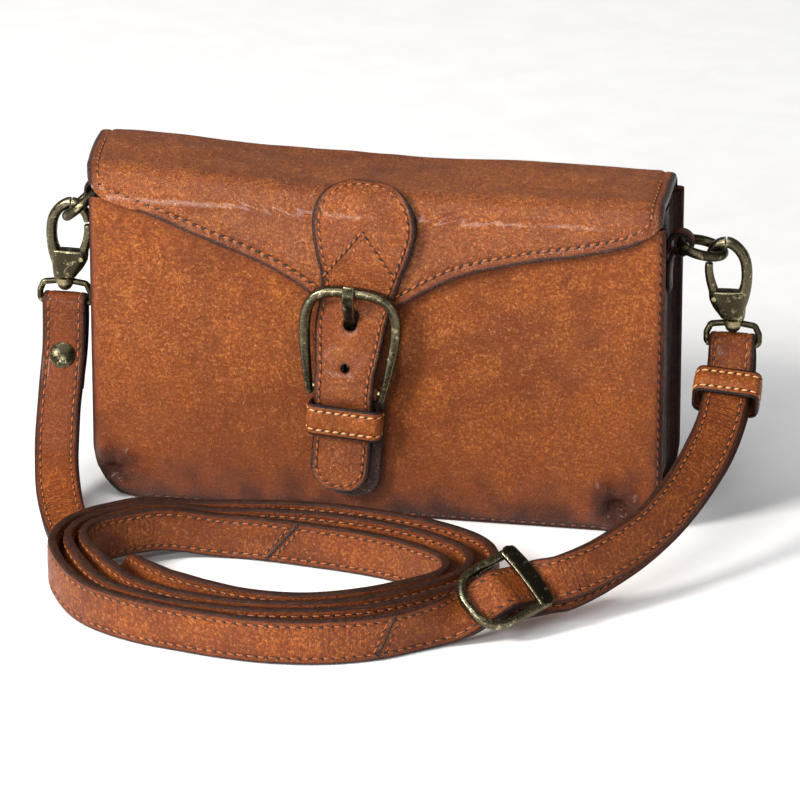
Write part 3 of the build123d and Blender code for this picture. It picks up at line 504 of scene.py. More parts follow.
def tilted(points):
    """Untilted closure coordinates to their leaning place."""
    p = np.array(points, float)
    c, s = math.cos(TILT), math.sin(TILT)
    dx, dz = p[..., 0] - TAB_X, p[..., 2] - TILT_Z
    return np.stack([TAB_X + dx * c + dz * s, p[..., 1], TILT_Z - dx * s + dz * c], -1)


def tilted_way(direction):
    """Untilted closure direction to its leaning one."""
    return tilted(direction) - tilted((0, 0, 0))


# ---- stitches ----
# faces of a seam: thread, and dark blobs of painted shade in the holes
THREAD_PICK, HOLE_SHADE_PICK = 0, 1


class Seams:
    """Collects stitches and their holes, dark blobs of painted shade, then makes one piece of them.
    """

    def __init__(self):
        self.verts, self.faces, self.picks, self.total = [], [], [], 0

    def blob(self, p, q, normal, radius, lift, pick, rings=5, sides=6):
        """A short rounded rod from p to q, arched by lift."""
        side = np.cross(normal, unit(q - p))
        turn = circle(sides)
        spread = side[None] * np.cos(turn)[:, None] + normal[None] * np.sin(turn)[:, None]
        for k in range(rings):
            t = k / (rings - 1)
            r = radius * max(0.25, math.sin(math.pi * (0.12 + 0.76 * t)) ** 0.5)
            self.verts.append(p + (q - p) * t + normal * lift * math.sin(math.pi * t) + spread * r)
        made = grid_faces(rings, sides, self.total, wrap=True)
        made += caps(rings, sides, self.total)
        self.faces += made
        self.picks += [pick] * len(made)
        self.total += rings * sides

    def run(self, surface, path, pitch=3.3, radius=0.44, slant=0.10, share=0.66, sink=0.0):
        """Stitches along path, a line of (a, b) on surface(a, b, height)."""
        path = np.asarray(path, float)
        s = arc_length(path)
        count = max(2, int(round(s[-1] / pitch)))
        marks = np.linspace(0, s[-1], count + 1)

        def place(t, off, h):
            a, b = (np.interp(t, s, line) for line in path.T)
            da, db = (np.interp(t + 0.4, s, line) - np.interp(t - 0.4, s, line) for line in path.T)
            size = math.hypot(da, db) or 1.0
            return surface(a - db / size * off, b + da / size * off, h - sink)

        for i in range(count):
            mid = (marks[i] + marks[i + 1]) / 2 + random.uniform(-0.12, 0.12)
            half = (marks[i + 1] - marks[i]) * share / 2 * random.uniform(0.92, 1.08)
            off = slant * random.uniform(0.6, 1.4)
            up = unit(place(mid, 0, 1.0) - place(mid, 0, 0.0))
            self.blob(place(mid - half, -off, 0.02), place(mid + half, off, 0.02), up, radius,
                      0.14, THREAD_PICK)
            # a dark blob of painted shade at each hole
            self.blob(place(marks[i] - 0.72, -0.46, -0.06), place(marks[i] + 0.72, 0.46, -0.06),
                      up, 0.44, 0.0, HOLE_SHADE_PICK, rings=4)

    def make(self, name, body, kind="thread", slot="tan_leather"):
        return make_piece(name, np.vstack(self.verts), self.faces, [M[kind], M["hole"]], body, slot,
                          picks=self.picks, sharp=80)


# ---- flap surface ----
EDGE_CURVE = catmull(FLAP_EDGE, 10)


def flap_low(x):
    """Height of the flap's lower edge in front, with its rounded outer corners."""
    low = np.interp(x, EDGE_CURVE[:, 0], EDGE_CURVE[:, 1])
    left, right = np.clip((-93.5 - x) / 4.0, 0, 1), np.clip((x - 95.5) / 4.0, 0, 1)
    return low + 5.0 * (1 - np.sqrt(1 - left ** 2)) + 5.0 * (1 - np.sqrt(1 - right ** 2))


STRAIGHT = FLAP_TOP - FLAP_CORNER - FLAP_BASE_Z
ARC_1 = STRAIGHT + FLAP_CORNER * math.pi / 2
DECK = ARC_1 + (FLAP_REAR - REAR_CORNER) - (FLAP_FRONT + FLAP_CORNER)
ARC_2 = DECK + REAR_CORNER * math.pi / 2
REAR_END = ARC_2 + 16.0


def flap_profile(s):
    """(y, z) and outward normal (ny, nz) of the flap's outer surface at arc length s."""
    a1 = np.clip((s - STRAIGHT) / FLAP_CORNER, 0, math.pi / 2)
    a2 = np.clip((s - DECK) / REAR_CORNER, 0, math.pi / 2)
    y = (FLAP_FRONT + FLAP_CORNER * (1 - np.cos(a1)) + np.clip(s - ARC_1, 0, DECK - ARC_1)
         + REAR_CORNER * np.sin(a2))
    z = (FLAP_BASE_Z + np.minimum(s, STRAIGHT) + FLAP_CORNER * np.sin(a1)
         - REAR_CORNER * (1 - np.cos(a2)) - np.clip(s - ARC_2, 0, None))
    turn = a1 + a2
    return y, z, -np.cos(turn), np.sin(turn)


def flap_start(a):
    """Arc length s at the flap's lower edge."""
    return float(flap_low(a)) - FLAP_BASE_Z


def flap_slope(a):
    """How steeply the flap's lower edge runs, as a length ratio."""
    return math.hypot(1, min(abs(float(flap_low(a + 0.5)) - float(flap_low(a - 0.5))), 1.6))


def soft(p, scale, seed):
    return noise.noise(Vector((p[0] * scale + seed, p[1] * scale - seed, p[2] * scale + 2 * seed)))


def flap_span(s):
    """Left and right end of the flap at arc length s: its rear sits a little to the left."""
    back = np.clip((s - STRAIGHT) / (ARC_2 - STRAIGHT), 0, 1)
    return -97.6 - 7.0 * back, 99.2 - 1.8 * back


def flap_at(a, s, h):
    """Point on the flap: a across it from its middle, s up its front, h above the surface."""
    y, z, ny, nz = flap_profile(s)
    left, right = flap_span(s)
    deck = math.sin(math.pi * min(max((s - STRAIGHT) / (ARC_2 - STRAIGHT), 0), 1))
    from_left, from_side = a + FLAP_HALF, FLAP_HALF - abs(a)
    x = left + (right - left) * from_left / (2 * FLAP_HALF)
    x -= 2.8 * deck ** 0.7 * fall(from_left, 40)
    sag = -1.9 * deck * hump(a - 12, 62)
    wave = 0.75 * soft((a, s, 0), 0.030, 3) + 0.22 * soft((a, s, 0), 0.085, 9)
    hem = hump(s - flap_start(a), 7) if s < STRAIGHT else 0.0
    droop = 0.5 * hump(s - 38, 14)
    roll = 2.4 * (0.25 + 0.75 * deck) * math.exp(-from_side / 4.5)
    roll *= 1 if s > STRAIGHT - 6 else 0.35
    roll *= 0.6 if a < 0 else 1.0
    back = 1.2 * (1 - fall(s - 20, 22)) * fall(s - ARC_1 + 4, 26)
    near = math.exp(-((abs(a + 4) - 30) / 20) ** 2 - ((s - 34) / 16) ** 2)
    slope = 1.5 if a < -4 else -1.5
    slanting = 0.34 * near * soft((a * 0.9 + s * slope, s * 0.18, 2), 0.26, 77)
    rise = 2.4 * (1 - fall(s - STRAIGHT, 22)) * fall(s - ARC_2 - 3, 12) * fall(from_left, 80)
    lift = h + wave * (1 - 0.7 * hem) + droop - roll - back + slanting
    return np.array([x, y + ny * lift, z + nz * lift + sag + rise])


# ---- solids from two matching grids ----
def slab_mesh(outer, inner, skip=None):
    """Closed solid between two (n, m, 3) grids: points, faces, and 0 outer, 1 inner, 2 rim."""
    n, m = outer.shape[:2]
    size = n * m
    keep = np.ones((n - 1, m - 1), bool) if skip is None else ~skip
    faces, picks = [], []
    for i in range(n - 1):
        for j in range(m - 1):
            if not keep[i, j]:
                continue
            a, b, c, d = i * m + j, i * m + j + 1, (i + 1) * m + j + 1, (i + 1) * m + j
            faces += [(a, b, c, d), (d + size, c + size, b + size, a + size)]
            picks += [0, 1]
            borders = (a, b, i - 1, j), (b, c, i, j + 1), (c, d, i + 1, j), (d, a, i, j - 1)
            for p, q, k, l in borders:
                if not (0 <= k < n - 1 and 0 <= l < m - 1 and keep[k, l]):
                    faces.append((q, p, p + size, q + size))
                    picks.append(2)
    used = sorted({v for f in faces for v in f})
    place = {v: i for i, v in enumerate(used)}
    pts = np.vstack([outer.reshape(-1, 3), inner.reshape(-1, 3)])[used]
    return pts, [tuple(place[v] for v in f) for f in faces], picks, used


def fall(t, reach):
    """1 at t = 0 easing to 0 at reach."""
    u = np.clip(t / reach, 0, 1)
    return 1 - u * u * (3 - 2 * u)


def rim_drop(d, r):
    """How far a rounded edge of radius r has fallen at a distance d inside the outline."""
    u = np.clip(r - d, 0, r)
    return r - np.sqrt(r * r - u * u)


# ---- body panels ----
def panel_distance(x, z):
    """Distance inside the panels' outline, sides and base."""
    qx, qz = abs(x) - (PANEL_HALF - PANEL_CORNER), PANEL_CORNER - z
    if qx > 0 and qz > 0:
        return PANEL_CORNER - math.hypot(qx, qz)
    return min(PANEL_HALF - abs(x), z)


def bow(x, z, top, power_x=1.0, power_z=1.0):
    """A panel's fullness: 1 at its middle, 0 at its sides, its base and the height top."""
    rise = math.sin(math.pi * min(max(z, 0) / top, 1))
    return max(1 - (x / PANEL_HALF) ** 2, 0) ** power_x * rise ** power_z


def pinch(x, z):
    """Push of the sewn darts on the front panel, outward, and their darkening: burnish round each
    dart and painted shade in its pit.
    """
    push, burn_and_shade = 0.0, 0.0
    for k, (px, pz) in enumerate(PITS):
        sign = -1 if px < 0 else 1
        dx, dz = (x - px) * sign, z - pz
        r = math.hypot(dx, dz)
        if r > 34:
            continue
        turn = math.atan2(dz, -dx)
        push -= 3.7 * math.exp(-(dx / 2.8) ** 2 - (dz / 2.0) ** 2)
        push += 1.6 * hump(r - 6.8, 3.8) * (0.75 + 0.25 * math.cos(turn * 2 - 0.6))
        push += 0.45 * math.cos(turn * 6 + 0.8 * k + r * 0.08) * hump(r - 8.0, 6.0)
        # a tuck runs from the dart towards the nearest corner
        line = abs(dx * 0.55 + dz * 0.83)
        if dx > -1:
            push -= 1.2 * hump(line, 1.3) * hump(r, 9.0)
        # darkest in the pit: burnish of the pinched leather and painted shade in the hollow
        burn_and_shade = max(burn_and_shade, hump(r, 3.6) * 1.4, 0.95 * hump(r, 13.0))
    return push, burn_and_shade


def front_at(x, z, h=0.0):
    d = panel_distance(x, z)
    low = float(flap_low(np.clip(x, -97, 97)))
    open_part = fall(z - (low - 20), 18)
    crown = 1.25 * bow(x, z, 95, 0.8, 0.7)
    p = (x, 0, z)
    wave = 0.42 * soft(p, 0.028, 1) + 0.20 * soft(p, 0.075, 4) + 0.07 * soft(p, 0.22, 6)
    pull = 0.30 * soft((x * 0.35, 0, z), 0.16, 8) * math.exp(-z / 16)
    push, _ = pinch(x, z)
    inner = min(1.0, max(d, 0) / 5)
    seam = -0.22 * hump(d - 1.5, 0.6) * (1 if x > -80 else 0.2)
    out = (crown + wave + pull) * inner * open_part + push + seam - min(rim_drop(d, 3.6), 1.9)
    out = max(out, -1.55)       # stays clear of the padding behind
    return np.array([x, -PANEL_Y - out - h, z])


def half_width(z):
    drop = max(PANEL_CORNER - z, 0)
    return PANEL_HALF - PANEL_CORNER + math.sqrt(max(PANEL_CORNER ** 2 - drop ** 2, 0))


def row_heights(top, step=0.85):
    """Row heights of a panel, closer together in the rounded corners."""
    turn = np.linspace(0, math.pi / 2, 40)
    return np.concatenate([PANEL_CORNER * (1 - np.cos(turn)),
                           np.arange(PANEL_CORNER + step, top, step), [top]])


def column_shares(count):
    """-1 to 1, closer together near the ends."""
    t = np.linspace(-1, 1, count)
    return 0.86 * t + 0.14 * np.sin(t * math.pi / 2) ** 3


def make_front_panel():
    rows, cols = row_heights(FRONT_TOP_Z), column_shares(251)
    outer = np.array([[front_at(c * half_width(z), z) for c in cols] for z in rows])
    inner = outer.copy()
    inner[..., 1] = -PANEL_INNER_Y
    *shape, _ = slab_mesh(outer, inner)
    burn_and_shade = []
    for x, _, z in shape[0]:
        d = panel_distance(x, z)
        ragged = 0.5 + 0.5 * soft((x, 0, z), 0.12, 12)
        low = float(flap_low(np.clip(x, -97, 97)))
        # darker at the outline, painted shade darker towards the bottom, and a painted shadow under
        # the flap's lower edge
        shade = (0.75 * fade(d, 1.1) + 0.34 * fade(d, 9) * ragged
                 + 0.80 * fade(z, 32) * (0.6 + 0.4 * ragged)
                 + 0.55 * fade(low - z, 3.5) * (0.5 + 0.5 * ragged))
        burn_and_shade.append(min(1.0, max(shade, pinch(x, z)[1])))
    leather_piece("front_leather", "body", "shell", shape, burn_and_shade, "front_panel")


def back_at(x, z, h=0.0):
    d = panel_distance(x, z)
    p = (x, 40, z)
    wave = 0.45 * soft(p, 0.03, 21) + 0.18 * soft(p, 0.09, 24)
    crown = 0.7 * bow(x, z, BACK_TOP_Z)
    seam = -0.30 * hump(d - 2.3, 0.7)
    out = (wave + crown) * min(1.0, max(d, 0) / 6) + seam - min(rim_drop(d, 2.4), 1.8)
    return np.array([x, PANEL_Y + out + h, z])


def make_back_panel():
    rows, cols = row_heights(BACK_TOP_Z, 1.3), column_shares(181)
    outer = np.array([[back_at(c * half_width(z), z) for c in cols[::-1]] for z in rows])
    inner = outer.copy()
    inner[..., 1] = PANEL_INNER_Y
    *shape, _ = slab_mesh(outer, inner)
    depths = [panel_distance(x, z) for x, _, z in shape[0]]
    burn_and_shade = [min(1.0, 0.8 * fade(d, 2.4) + 0.25 * fade(d, 10)) for d in depths]
    leather_piece("back_leather", "body", "shell", shape, burn_and_shade, "back_panel")


def gusset_line():
    """The gusset's route in XZ, from the top left to the top right, with its outward normals."""
    turn = np.linspace(0, math.pi / 2, 20)
    rows = [(-97.5, z, -1, 0) for z in np.arange(111, 18, -1.0)]
    rows += [(-79.5 - 18 * math.cos(t), 18 - 18 * math.sin(t), -math.cos(t), -math.sin(t))
             for t in turn]
    rows += [(x, 0, 0, -1) for x in np.arange(-77, 79, 2.5)]
    rows += [(79.5 + 18 * math.cos(t), 18 - 18 * math.sin(t), math.cos(t), -math.sin(t))
             for t in turn[::-1]]
    rows += [(97.5, min(z, 111), 1, 0) for z in np.arange(19, 111.5, 1.0)]
    return np.array(rows, float)


GUSSET_LIP = np.array([18.8, 19.0, 19.3, 19.8, 20.2, 20.4])
GUSSET_Y = np.concatenate([-GUSSET_LIP[::-1], np.arange(-18, 18.5, 1.0), GUSSET_LIP])


def make_gusset():
    line = gusset_line()
    outer = np.zeros((len(line), len(GUSSET_Y), 3))
    for i, (x, z, nx, nz) in enumerate(line):
        side = min(1.0, abs(nx)) * min(1.0, z / 25)
        upper = min(1.0, max(0.0, (z - 20) / 70))
        for j, y in enumerate(GUSSET_Y):
            lip = 1 - fall(abs(y) - 18.2, 1.3)
            edge = min(rim_drop(20.45 - abs(y), 0.5), 0.5)
            if abs(y) > 18.85:
                edge += min(rim_drop(abs(y) - 18.85, 0.4), 0.4)
            reach = (2.3 - edge) * lip * min(1.0, z / 3) if abs(nx) > 0.05 else 0.0
            crease = -(1.0 + 0.9 * upper) * hump(abs(y) - 11, 4.6) * side
            wave = side * (0.30 * soft((x, y, z), 0.06, 31) * (1 - lip)
                           + 0.14 * soft((x, y, z), 0.2, 33))
            out = reach + crease + wave
            outer[i, j] = (x + nx * out, y, max(z + nz * out, 0.02))
    inner = outer.copy()
    inner[..., 0] -= line[:, None, 2] * 1.6
    inner[..., 2] -= line[:, None, 3] * 1.6
    *shape, _ = slab_mesh(outer, inner)
    burn_and_shade = [min(1.0, 0.75 * fade(20.4 - abs(y), 1.6) + 0.45 * math.exp(-z / 14))
            for _, y, z in shape[0]]
    leather_piece("side_gusset", "gusset", "shell", shape, burn_and_shade, "gusset")


make_front_panel()
make_back_panel()
make_gusset()

BASE_PATH = [(x, 1.5) for x in np.arange(-79, 80, 1.0)]
RIGHT_PATH = [(80 + 18.5 * math.cos(t), 20 - 18.5 * math.sin(t))
              for t in np.linspace(math.pi / 2, 0, 30)]
RIGHT_PATH += [(98.5, z) for z in np.arange(21, 108.5, 1.0)]
panel_seam = Seams()
panel_seam.run(front_at, BASE_PATH + RIGHT_PATH, pitch=3.5, radius=0.30)
panel_seam.run(back_at, [(-x, z) for x, z in RIGHT_PATH[::-1]] + BASE_PATH + RIGHT_PATH,
               pitch=3.5, radius=0.30)
panel_seam.make("panel_stitches", "shell", "thread_dark")


# ---- flap ----
def flap_distance(a, s):
    """Distance inside the flap's outline: lower edge and sides."""
    side = FLAP_HALF - abs(a)
    return side if s > STRAIGHT else min((s - flap_start(a)) / flap_slope(a), side)


def make_flap():
    ends = np.array([96.4, 97.2, 97.8, 98.2, FLAP_HALF])
    cols = np.concatenate([-ends[::-1], np.linspace(-95.4, 95.4, 212), ends])
    near_hem = [0, 0.2, 0.5, 0.95, 1.5, 2.2, 2.9, 3.5, 4.1, 4.8]
    outer, inner, burn_and_shade = [], [], []
    for a in cols:
        s0 = flap_start(a)
        for s in s0 + np.concatenate([near_hem, np.linspace(5.8, REAR_END - s0, 118)]):
            d = flap_distance(a, s)
            lap = fall(ARC_2 + 1.5 - s, 6.0) if s > ARC_2 - 4.5 else 0.0
            end = rim_drop(REAR_END - s, 1.1) if s > REAR_END - 1.1 else 0.0
            groove = 0.42 * hump(d - 3.9, 0.65) - 0.12 * hump(d - 5.9, 1.3)
            pucker = 0.16 * hump(d - 4.2, 2.4) * math.sin(a * 2.0) if s < STRAIGHT else 0.0
            drop = min(rim_drop(max(d, 0), 1.15), 1.15)
            outer.append(flap_at(a, s, 1.5 * lap - groove - drop - end - pucker))
            base = -FLAP_SKIN + 1.1 * (1 - fall(s - 20, 22)) * fall(s - ARC_1 + 4, 26)
            base += 0.35 * fade(d, 0.5)
            if lap > 0.02:
                base += 2.75 * min(1, lap * 1.6)
            inner.append(flap_at(a, s, min(base, 1.5 * lap - drop - 0.35)))
            ragged = 0.5 + 0.5 * soft((a, 7, s), 0.10, 41)
            # dark rim round the outline: burnished edge plus a painted shadow line along the hem;
            # darker near the edges and at the ends; painted shade darkens the deck towards its rear
            shade = 1.5 * fade(d - 0.7, 0.55) + 0.42 * fade(d, 6.5) * ragged
            shade += 0.16 * fall(ARC_2 - s, 34) * (0.4 + 0.6 * ragged)
            shade += 0.25 * fade(FLAP_HALF - abs(a), 7) * ragged
            burn_and_shade.append(min(shade, 1.0))
    outer, inner = (np.reshape(grid, (len(cols), -1, 3)) for grid in (outer, inner))
    *shape, used = slab_mesh(outer, inner)
    burn_and_shade = np.concatenate([burn_and_shade, np.full(len(burn_and_shade), 0.5)])[used]
    piece = leather_piece("flap_leather", "flap", None, shape, burn_and_shade, "flap", "flap_lining")
    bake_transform(piece)


make_flap()

flap_seam = Seams()
SIDE_SEAM = FLAP_HALF - 3.9
hem = [(a, flap_start(a) + 3.9 * flap_slope(a)) for a in np.linspace(-SIDE_SEAM, SIDE_SEAM, 380)]
left_side = [(-SIDE_SEAM, s) for s in np.linspace(DECK - 8, hem[0][1] + 1, 60)]
right_side = [(SIDE_SEAM, s) for s in np.linspace(hem[-1][1] + 1, DECK - 8, 60)]
flap_seam.run(flap_at, left_side, pitch=3.4, sink=0.3)
flap_seam.run(flap_at, hem, pitch=3.4, radius=0.5, sink=0.16)
flap_seam.run(flap_at, right_side, pitch=3.4, sink=0.3)
flap_seam.make("flap_stitches", "flap")

rear_seam = Seams()
for up in (3, 8):
    rear_seam.run(lambda a, s, h: flap_at(a, s, h + 1.5),
                  [(a, REAR_END - up) for a in np.linspace(-95, 95, 200)], pitch=3.6)
rear_seam.make("flap_rear_stitches", "shell")


# ---- buckled strap ----
# The strap below the flap in YZ, over the buckle's bar and down to its tip.
PATH_LINE = catmull([
    (-26.65, 80), (-27.5, 74), (-29.3, 65), (-31.4, 57), (-32.7, 51.5), (-32.7, 47.3),
    (-31.4, 44.2), (-29.6, 41.6), (-28.95, 38.5), (-28.95, 30), (-28.95, 20), (-28.95, 10.7)], 12)
PATH_S = arc_length(PATH_LINE)
TAB_TOP, TAB_END = 13.4, -30 - PATH_S[-1]
TAB_TIP = 9.0               # length of the rounded tip
TAB_W_AT = catmull([
    (-130, 10.2), (-62, 10.3), (-52, 11.0), (-43, 12.0), (-34, 12.6), (-26.3, 13.1), (-20, 14.3),
    (-14, 16.0), (-8, 17.4), (-3, 17.9), (2.2, 17.0), (6.6, 14.7), (9.8, 11.3), (11.9, 7.4),
    (13.05, 3.8), (13.4, 0.3)], 8)


def rounded_tip(up):
    """Share of a strap's width at a height up its blunt rounded tip."""
    return (1 - (1 - min(max(up, 0), TAB_TIP) / TAB_TIP) ** 2.2) ** (1 / 2.2)


def tab_half(v):
    """Half width of the strap's pear-shaped head, its straight part and its rounded tip."""
    half = float(np.interp(v, TAB_W_AT[:, 0], TAB_W_AT[:, 1]))
    if v - TAB_END < TAB_TIP:
        half = min(half, 10.2 * rounded_tip(v - TAB_END) + 0.02)
    return half


def tab_at(u, v, h=0.0):
    """Point on the strap: u across, v up its middle from the flap's ridge, h out of its front."""
    c, sn = math.cos(TILT), math.sin(TILT)
    a = TAB_X + u * c + v * sn
    on_flap = flap_at(a, 40.0 - u * sn + v * c, 1.25 + h)
    if v > -20:
        return on_flap
    t = min(max(-30 - v, 0.0), PATH_S[-1])
    (y1, y, y2), (z1, z, z2) = (np.interp([t - 0.5, t, t + 0.5], PATH_S, line)
                                for line in PATH_LINE.T)
    if v > -30:
        y, z, ny, nz = -26.75, 110 + v, -1.0, 0.0
    else:
        size = math.hypot(y2 - y1, z2 - z1) or 1
        ny, nz = (z2 - z1) / size, -(y2 - y1) / size
    cup = 0.35 * (u / 10.2) ** 2
    lean = -1.4 * (1 - fall(-28 - v, 12)) if v < -28 else 0.0
    free = tilted((TAB_X + lean + u, y + ny * (h - cup), z + nz * (h - cup)))
    share = fall(v + 30, 10) if v > -30 else 1.0
    return on_flap * (1 - share) + free * share


def hole_distance(u, v):
    """Distance outside the prong's slot and the spare hole, negative inside."""
    z = np.interp(max(-30 - v, 0), PATH_S, PATH_LINE[:, 1]) if v < -30 else 110 + v
    slot = math.hypot(u, max(abs(z - 72.8) - 1.3, 0)) - 2.35
    spare = math.hypot(u, z - 56.6) - 1.5
    return min(slot, spare)


def head_lift(v):
    """Extra thickness of the padded head above the buckle."""
    return 1.1 * (1 - fall(v + 25, 12)) if v > -25 else 0.0


def head_puff(u, v):
    return 1.3 * math.exp(-(math.hypot(u, v + 3) / 11.5) ** 2)


def sine_shares(count, bend):
    """-1 to 1, closer together near the ends the nearer bend is to 1."""
    turn = np.linspace(-math.pi / 2, math.pi / 2, count)
    return np.sin(turn) * bend + np.linspace(-1, 1, count) * (1 - bend)


def make_tab():
    rows = np.concatenate([
        TAB_TOP - np.array([0, 0.06, 0.2, 0.45, 0.8, 1.3]), np.arange(TAB_TOP - 2, -34, -0.8),
        np.arange(-34.4, -60, -0.45), np.arange(-60.6, TAB_END + 2.2, -0.9),
        TAB_END + np.array([1.8, 1.2, 0.7, 0.3, 0.08, 0])])
    shares = sine_shares(45, 0.45)
    skip = np.zeros((len(rows) - 1, len(shares) - 1), bool)
    places = np.zeros((len(rows), len(shares), 2))
    for i, v in enumerate(rows):
        half = tab_half(v)
        for j, share in enumerate(shares):
            u, w = share * half, v
            gap = hole_distance(u, w)
            if abs(gap) < 0.42:         # a point near a hole's edge moves onto it
                gu = (hole_distance(u + 0.05, w) - hole_distance(u - 0.05, w)) / 0.1
                gv = (hole_distance(u, w + 0.05) - hole_distance(u, w - 0.05)) / 0.1
                size = gu * gu + gv * gv or 1
                u, w = u - gap * gu / size, w - gap * gv / size
            places[i, j] = (u, w)
    outer, inner = np.zeros((2, len(rows), len(shares), 3))
    burns_and_shades = []
    for i, v in enumerate(rows):
        half = tab_half(v)
        for j, share in enumerate(shares):
            u, w = places[i, j]
            end = min(TAB_TOP - v, v - TAB_END)
            d = min(half - abs(u), end if end < 3 else 99)
            lip = rim_drop(max(d, 0), 0.75)
            hole = hole_distance(u, w)
            sewn = TAB_END + 6 < v < TAB_TOP - 8
            groove = 0.34 * hump(half - abs(u) - 2.1, 0.5) if sewn else 0
            fine = 0.10 * soft((u, v, 3), 0.28, 51) + 0.16 * hump(d - 1.2, 0.35)
            outer[i, j] = tab_at(u, w, 1.15 + head_lift(w) - lip - groove + head_puff(u, v)
                                 - 0.28 * fade(hole, 0.7) + fine)
            inner[i, j] = tab_at(u, w, -1.1 + 0.3 * fade(d, 0.5))
            # black-dyed rim, widened above the buckle where it also paints the shade along the rim;
            # darker near the outline; painted shade round the slot and the spare hole
            ragged = 0.5 + 0.5 * soft((u, v, 9), 0.2, 55)
            dyed_and_shaded_rim = 0.9 if v > -34 else 0.5
            burns_and_shades.append(min(1.0, 1.5 * fade(d - dyed_and_shaded_rim, 0.4) + 0.30 * fade(d, 3.0) * ragged
                             + 0.8 * fade(hole, 0.6)))
    for i in range(len(rows) - 1):
        for j in range(len(shares) - 1):
            mid = places[i:i + 2, j:j + 2].reshape(-1, 2).mean(0)
            skip[i, j] = hole_distance(*mid) < 0
    *shape, used = slab_mesh(outer, inner, skip)
    burn_and_shade = np.concatenate([burns_and_shades, np.full(len(burns_and_shades), 0.6)])[used]
    piece = leather_piece("closure_strap", "tab", None, shape, burn_and_shade, "tab_upper", "tab_strap")
    start, end = (tuple(tilted((TAB_X, -27, z)) * MM) for z in (92, 81))
    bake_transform(piece)


make_tab()


def tab_edge(sign, start, end, inset=2.1):
    return [(sign * (tab_half(v) - inset), v) for v in np.linspace(start, end, 90)]


head_seam = Seams()
head_arc = [(15.3 * math.cos(t), -2.5 + 13.3 * math.sin(t)) for t in np.linspace(0, math.pi, 60)]
head = tab_edge(1, -27, -2.5, 2.6)[:-1] + head_arc + tab_edge(-1, -2.5, -27, 2.6)[1:]
tab_up = lambda u, v, h: tab_at(u, v, h + 1.15 + head_lift(v) + head_puff(u, v))
head_seam.run(tab_up, head, pitch=3.1, radius=0.42, sink=0.2)
for line in ([(-13.0, -23.0), (-0.3, -4.4)], [(-0.3, -4.4), (12.2, -20.4)]):
    head_seam.run(tab_up, line, pitch=2.9, radius=0.44)
head_seam.make("closure_head_stitches", "flap")

tail_seam = Seams()
TIP_SEAM = TAB_END + 9.2
tip_arc = [(-8.1 * math.cos(t), TIP_SEAM - 7.1 * math.sin(t)) for t in np.linspace(0, math.pi, 40)]
tail_seam.run(lambda u, v, h: tab_at(u, v, h + 1.15),
              tab_edge(-1, -31.5, TIP_SEAM) + tip_arc[1:-1] + tab_edge(1, TIP_SEAM, -31.5),
              pitch=3.1, radius=0.42, sink=0.18)
tail_seam.make("closure_tail_stitches", "closure")


def make_under_strap():
    """The strap folded round the buckle's lower bar, seen beside and below the tail."""
    x0 = TAB_X + 2.0
    rows = np.concatenate([np.linspace(9.0, 10.2, 6), np.linspace(11, 46, 40)])[::-1]
    shares = sine_shares(31, 0.5)
    outer, inner = np.zeros((2, len(rows), len(shares), 3))
    burns_and_shades = []
    for i, z in enumerate(rows):
        up = z - 8.9
        half = 10.7 * rounded_tip(up)
        y = -27.65 - 0.9 * fall(46 - z, 9)
        for j, u in enumerate(shares * half):
            d = min(half - abs(u), up * 1.2)
            lip = rim_drop(max(d, 0), 0.6)
            outer[i, j] = tilted((x0 + u, y + lip, z))
            inner[i, j] = tilted((x0 + u, y + 1.95 - 0.6 * lip, z))
            # painted shade: the strap under the tail is darkened all over, most at its edges
            burns_and_shades.append(min(1.0, 0.80 + 0.6 * fade(d, 1.0)))
    pts, faces, picks, used = slab_mesh(outer, inner)
    # the fold round the bar is a tube in two halves, with the prong's place between them
    ends = [(10.0, 2.0), (9.85, 2.3), (9.5, 2.45), (2.6, 2.45), (2.2, 2.3), (2.1, 1.6)]
    tube, more = lathe([(-x, r) for x, r in ends] + ends[::-1], 36,
                       lambda x, a, b: tilted((TAB_X + x, BAR_Y + a, BAR_Z + b)))
    more += caps(12, 36)
    pts, faces = join([(pts, faces), (tube, more)])
    # the fold round the bar gets a lighter painted shade
    burn_and_shade = np.concatenate([np.concatenate([burns_and_shades, burns_and_shades])[used], np.full(len(tube), 0.45)])
    shape = pts, faces, picks + [0] * len(more)
    leather_piece("under_strap_leather", "tab", "closure", shape, burn_and_shade, "under_strap")


make_under_strap()


# ---- leather bands and straps ----
def strap_section(width, thick, groove=SEAM_INSET):
    """Section of a sewn strap: points (across, out) and which of its sides are cut edges."""
    half, t = width / 2, thick / 2
    seam = half - groove
    right_half = [(half * 0.35, -0.12), (seam - 1.1, -0.05), (seam - 0.45, 0.06), (seam, 0.30),
                  (seam + 0.45, 0.06), (half - 1.4, 0), (half - 0.75, 0.10)]
    rows = [(-w, drop) for w, drop in right_half[::-1]] + [(0, -0.15)] + right_half
    front = [(w, t - drop) for w, drop in rows]
    right = [(half - 0.28, t - 0.38), (half - 0.04, t * 0.45), (half - 0.12, 0.02),
             (half - 0.04, -t * 0.45), (half - 0.28, -t + 0.38)]
    points = np.array(front + right + [(-w, -o) for w, o in front] + [(-w, -o) for w, o in right])
    edge = [max(abs(p[0]), abs(q[0])) > half - 0.5 for p, q in zip(points, np.roll(points, -1, 0))]
    return points, edge


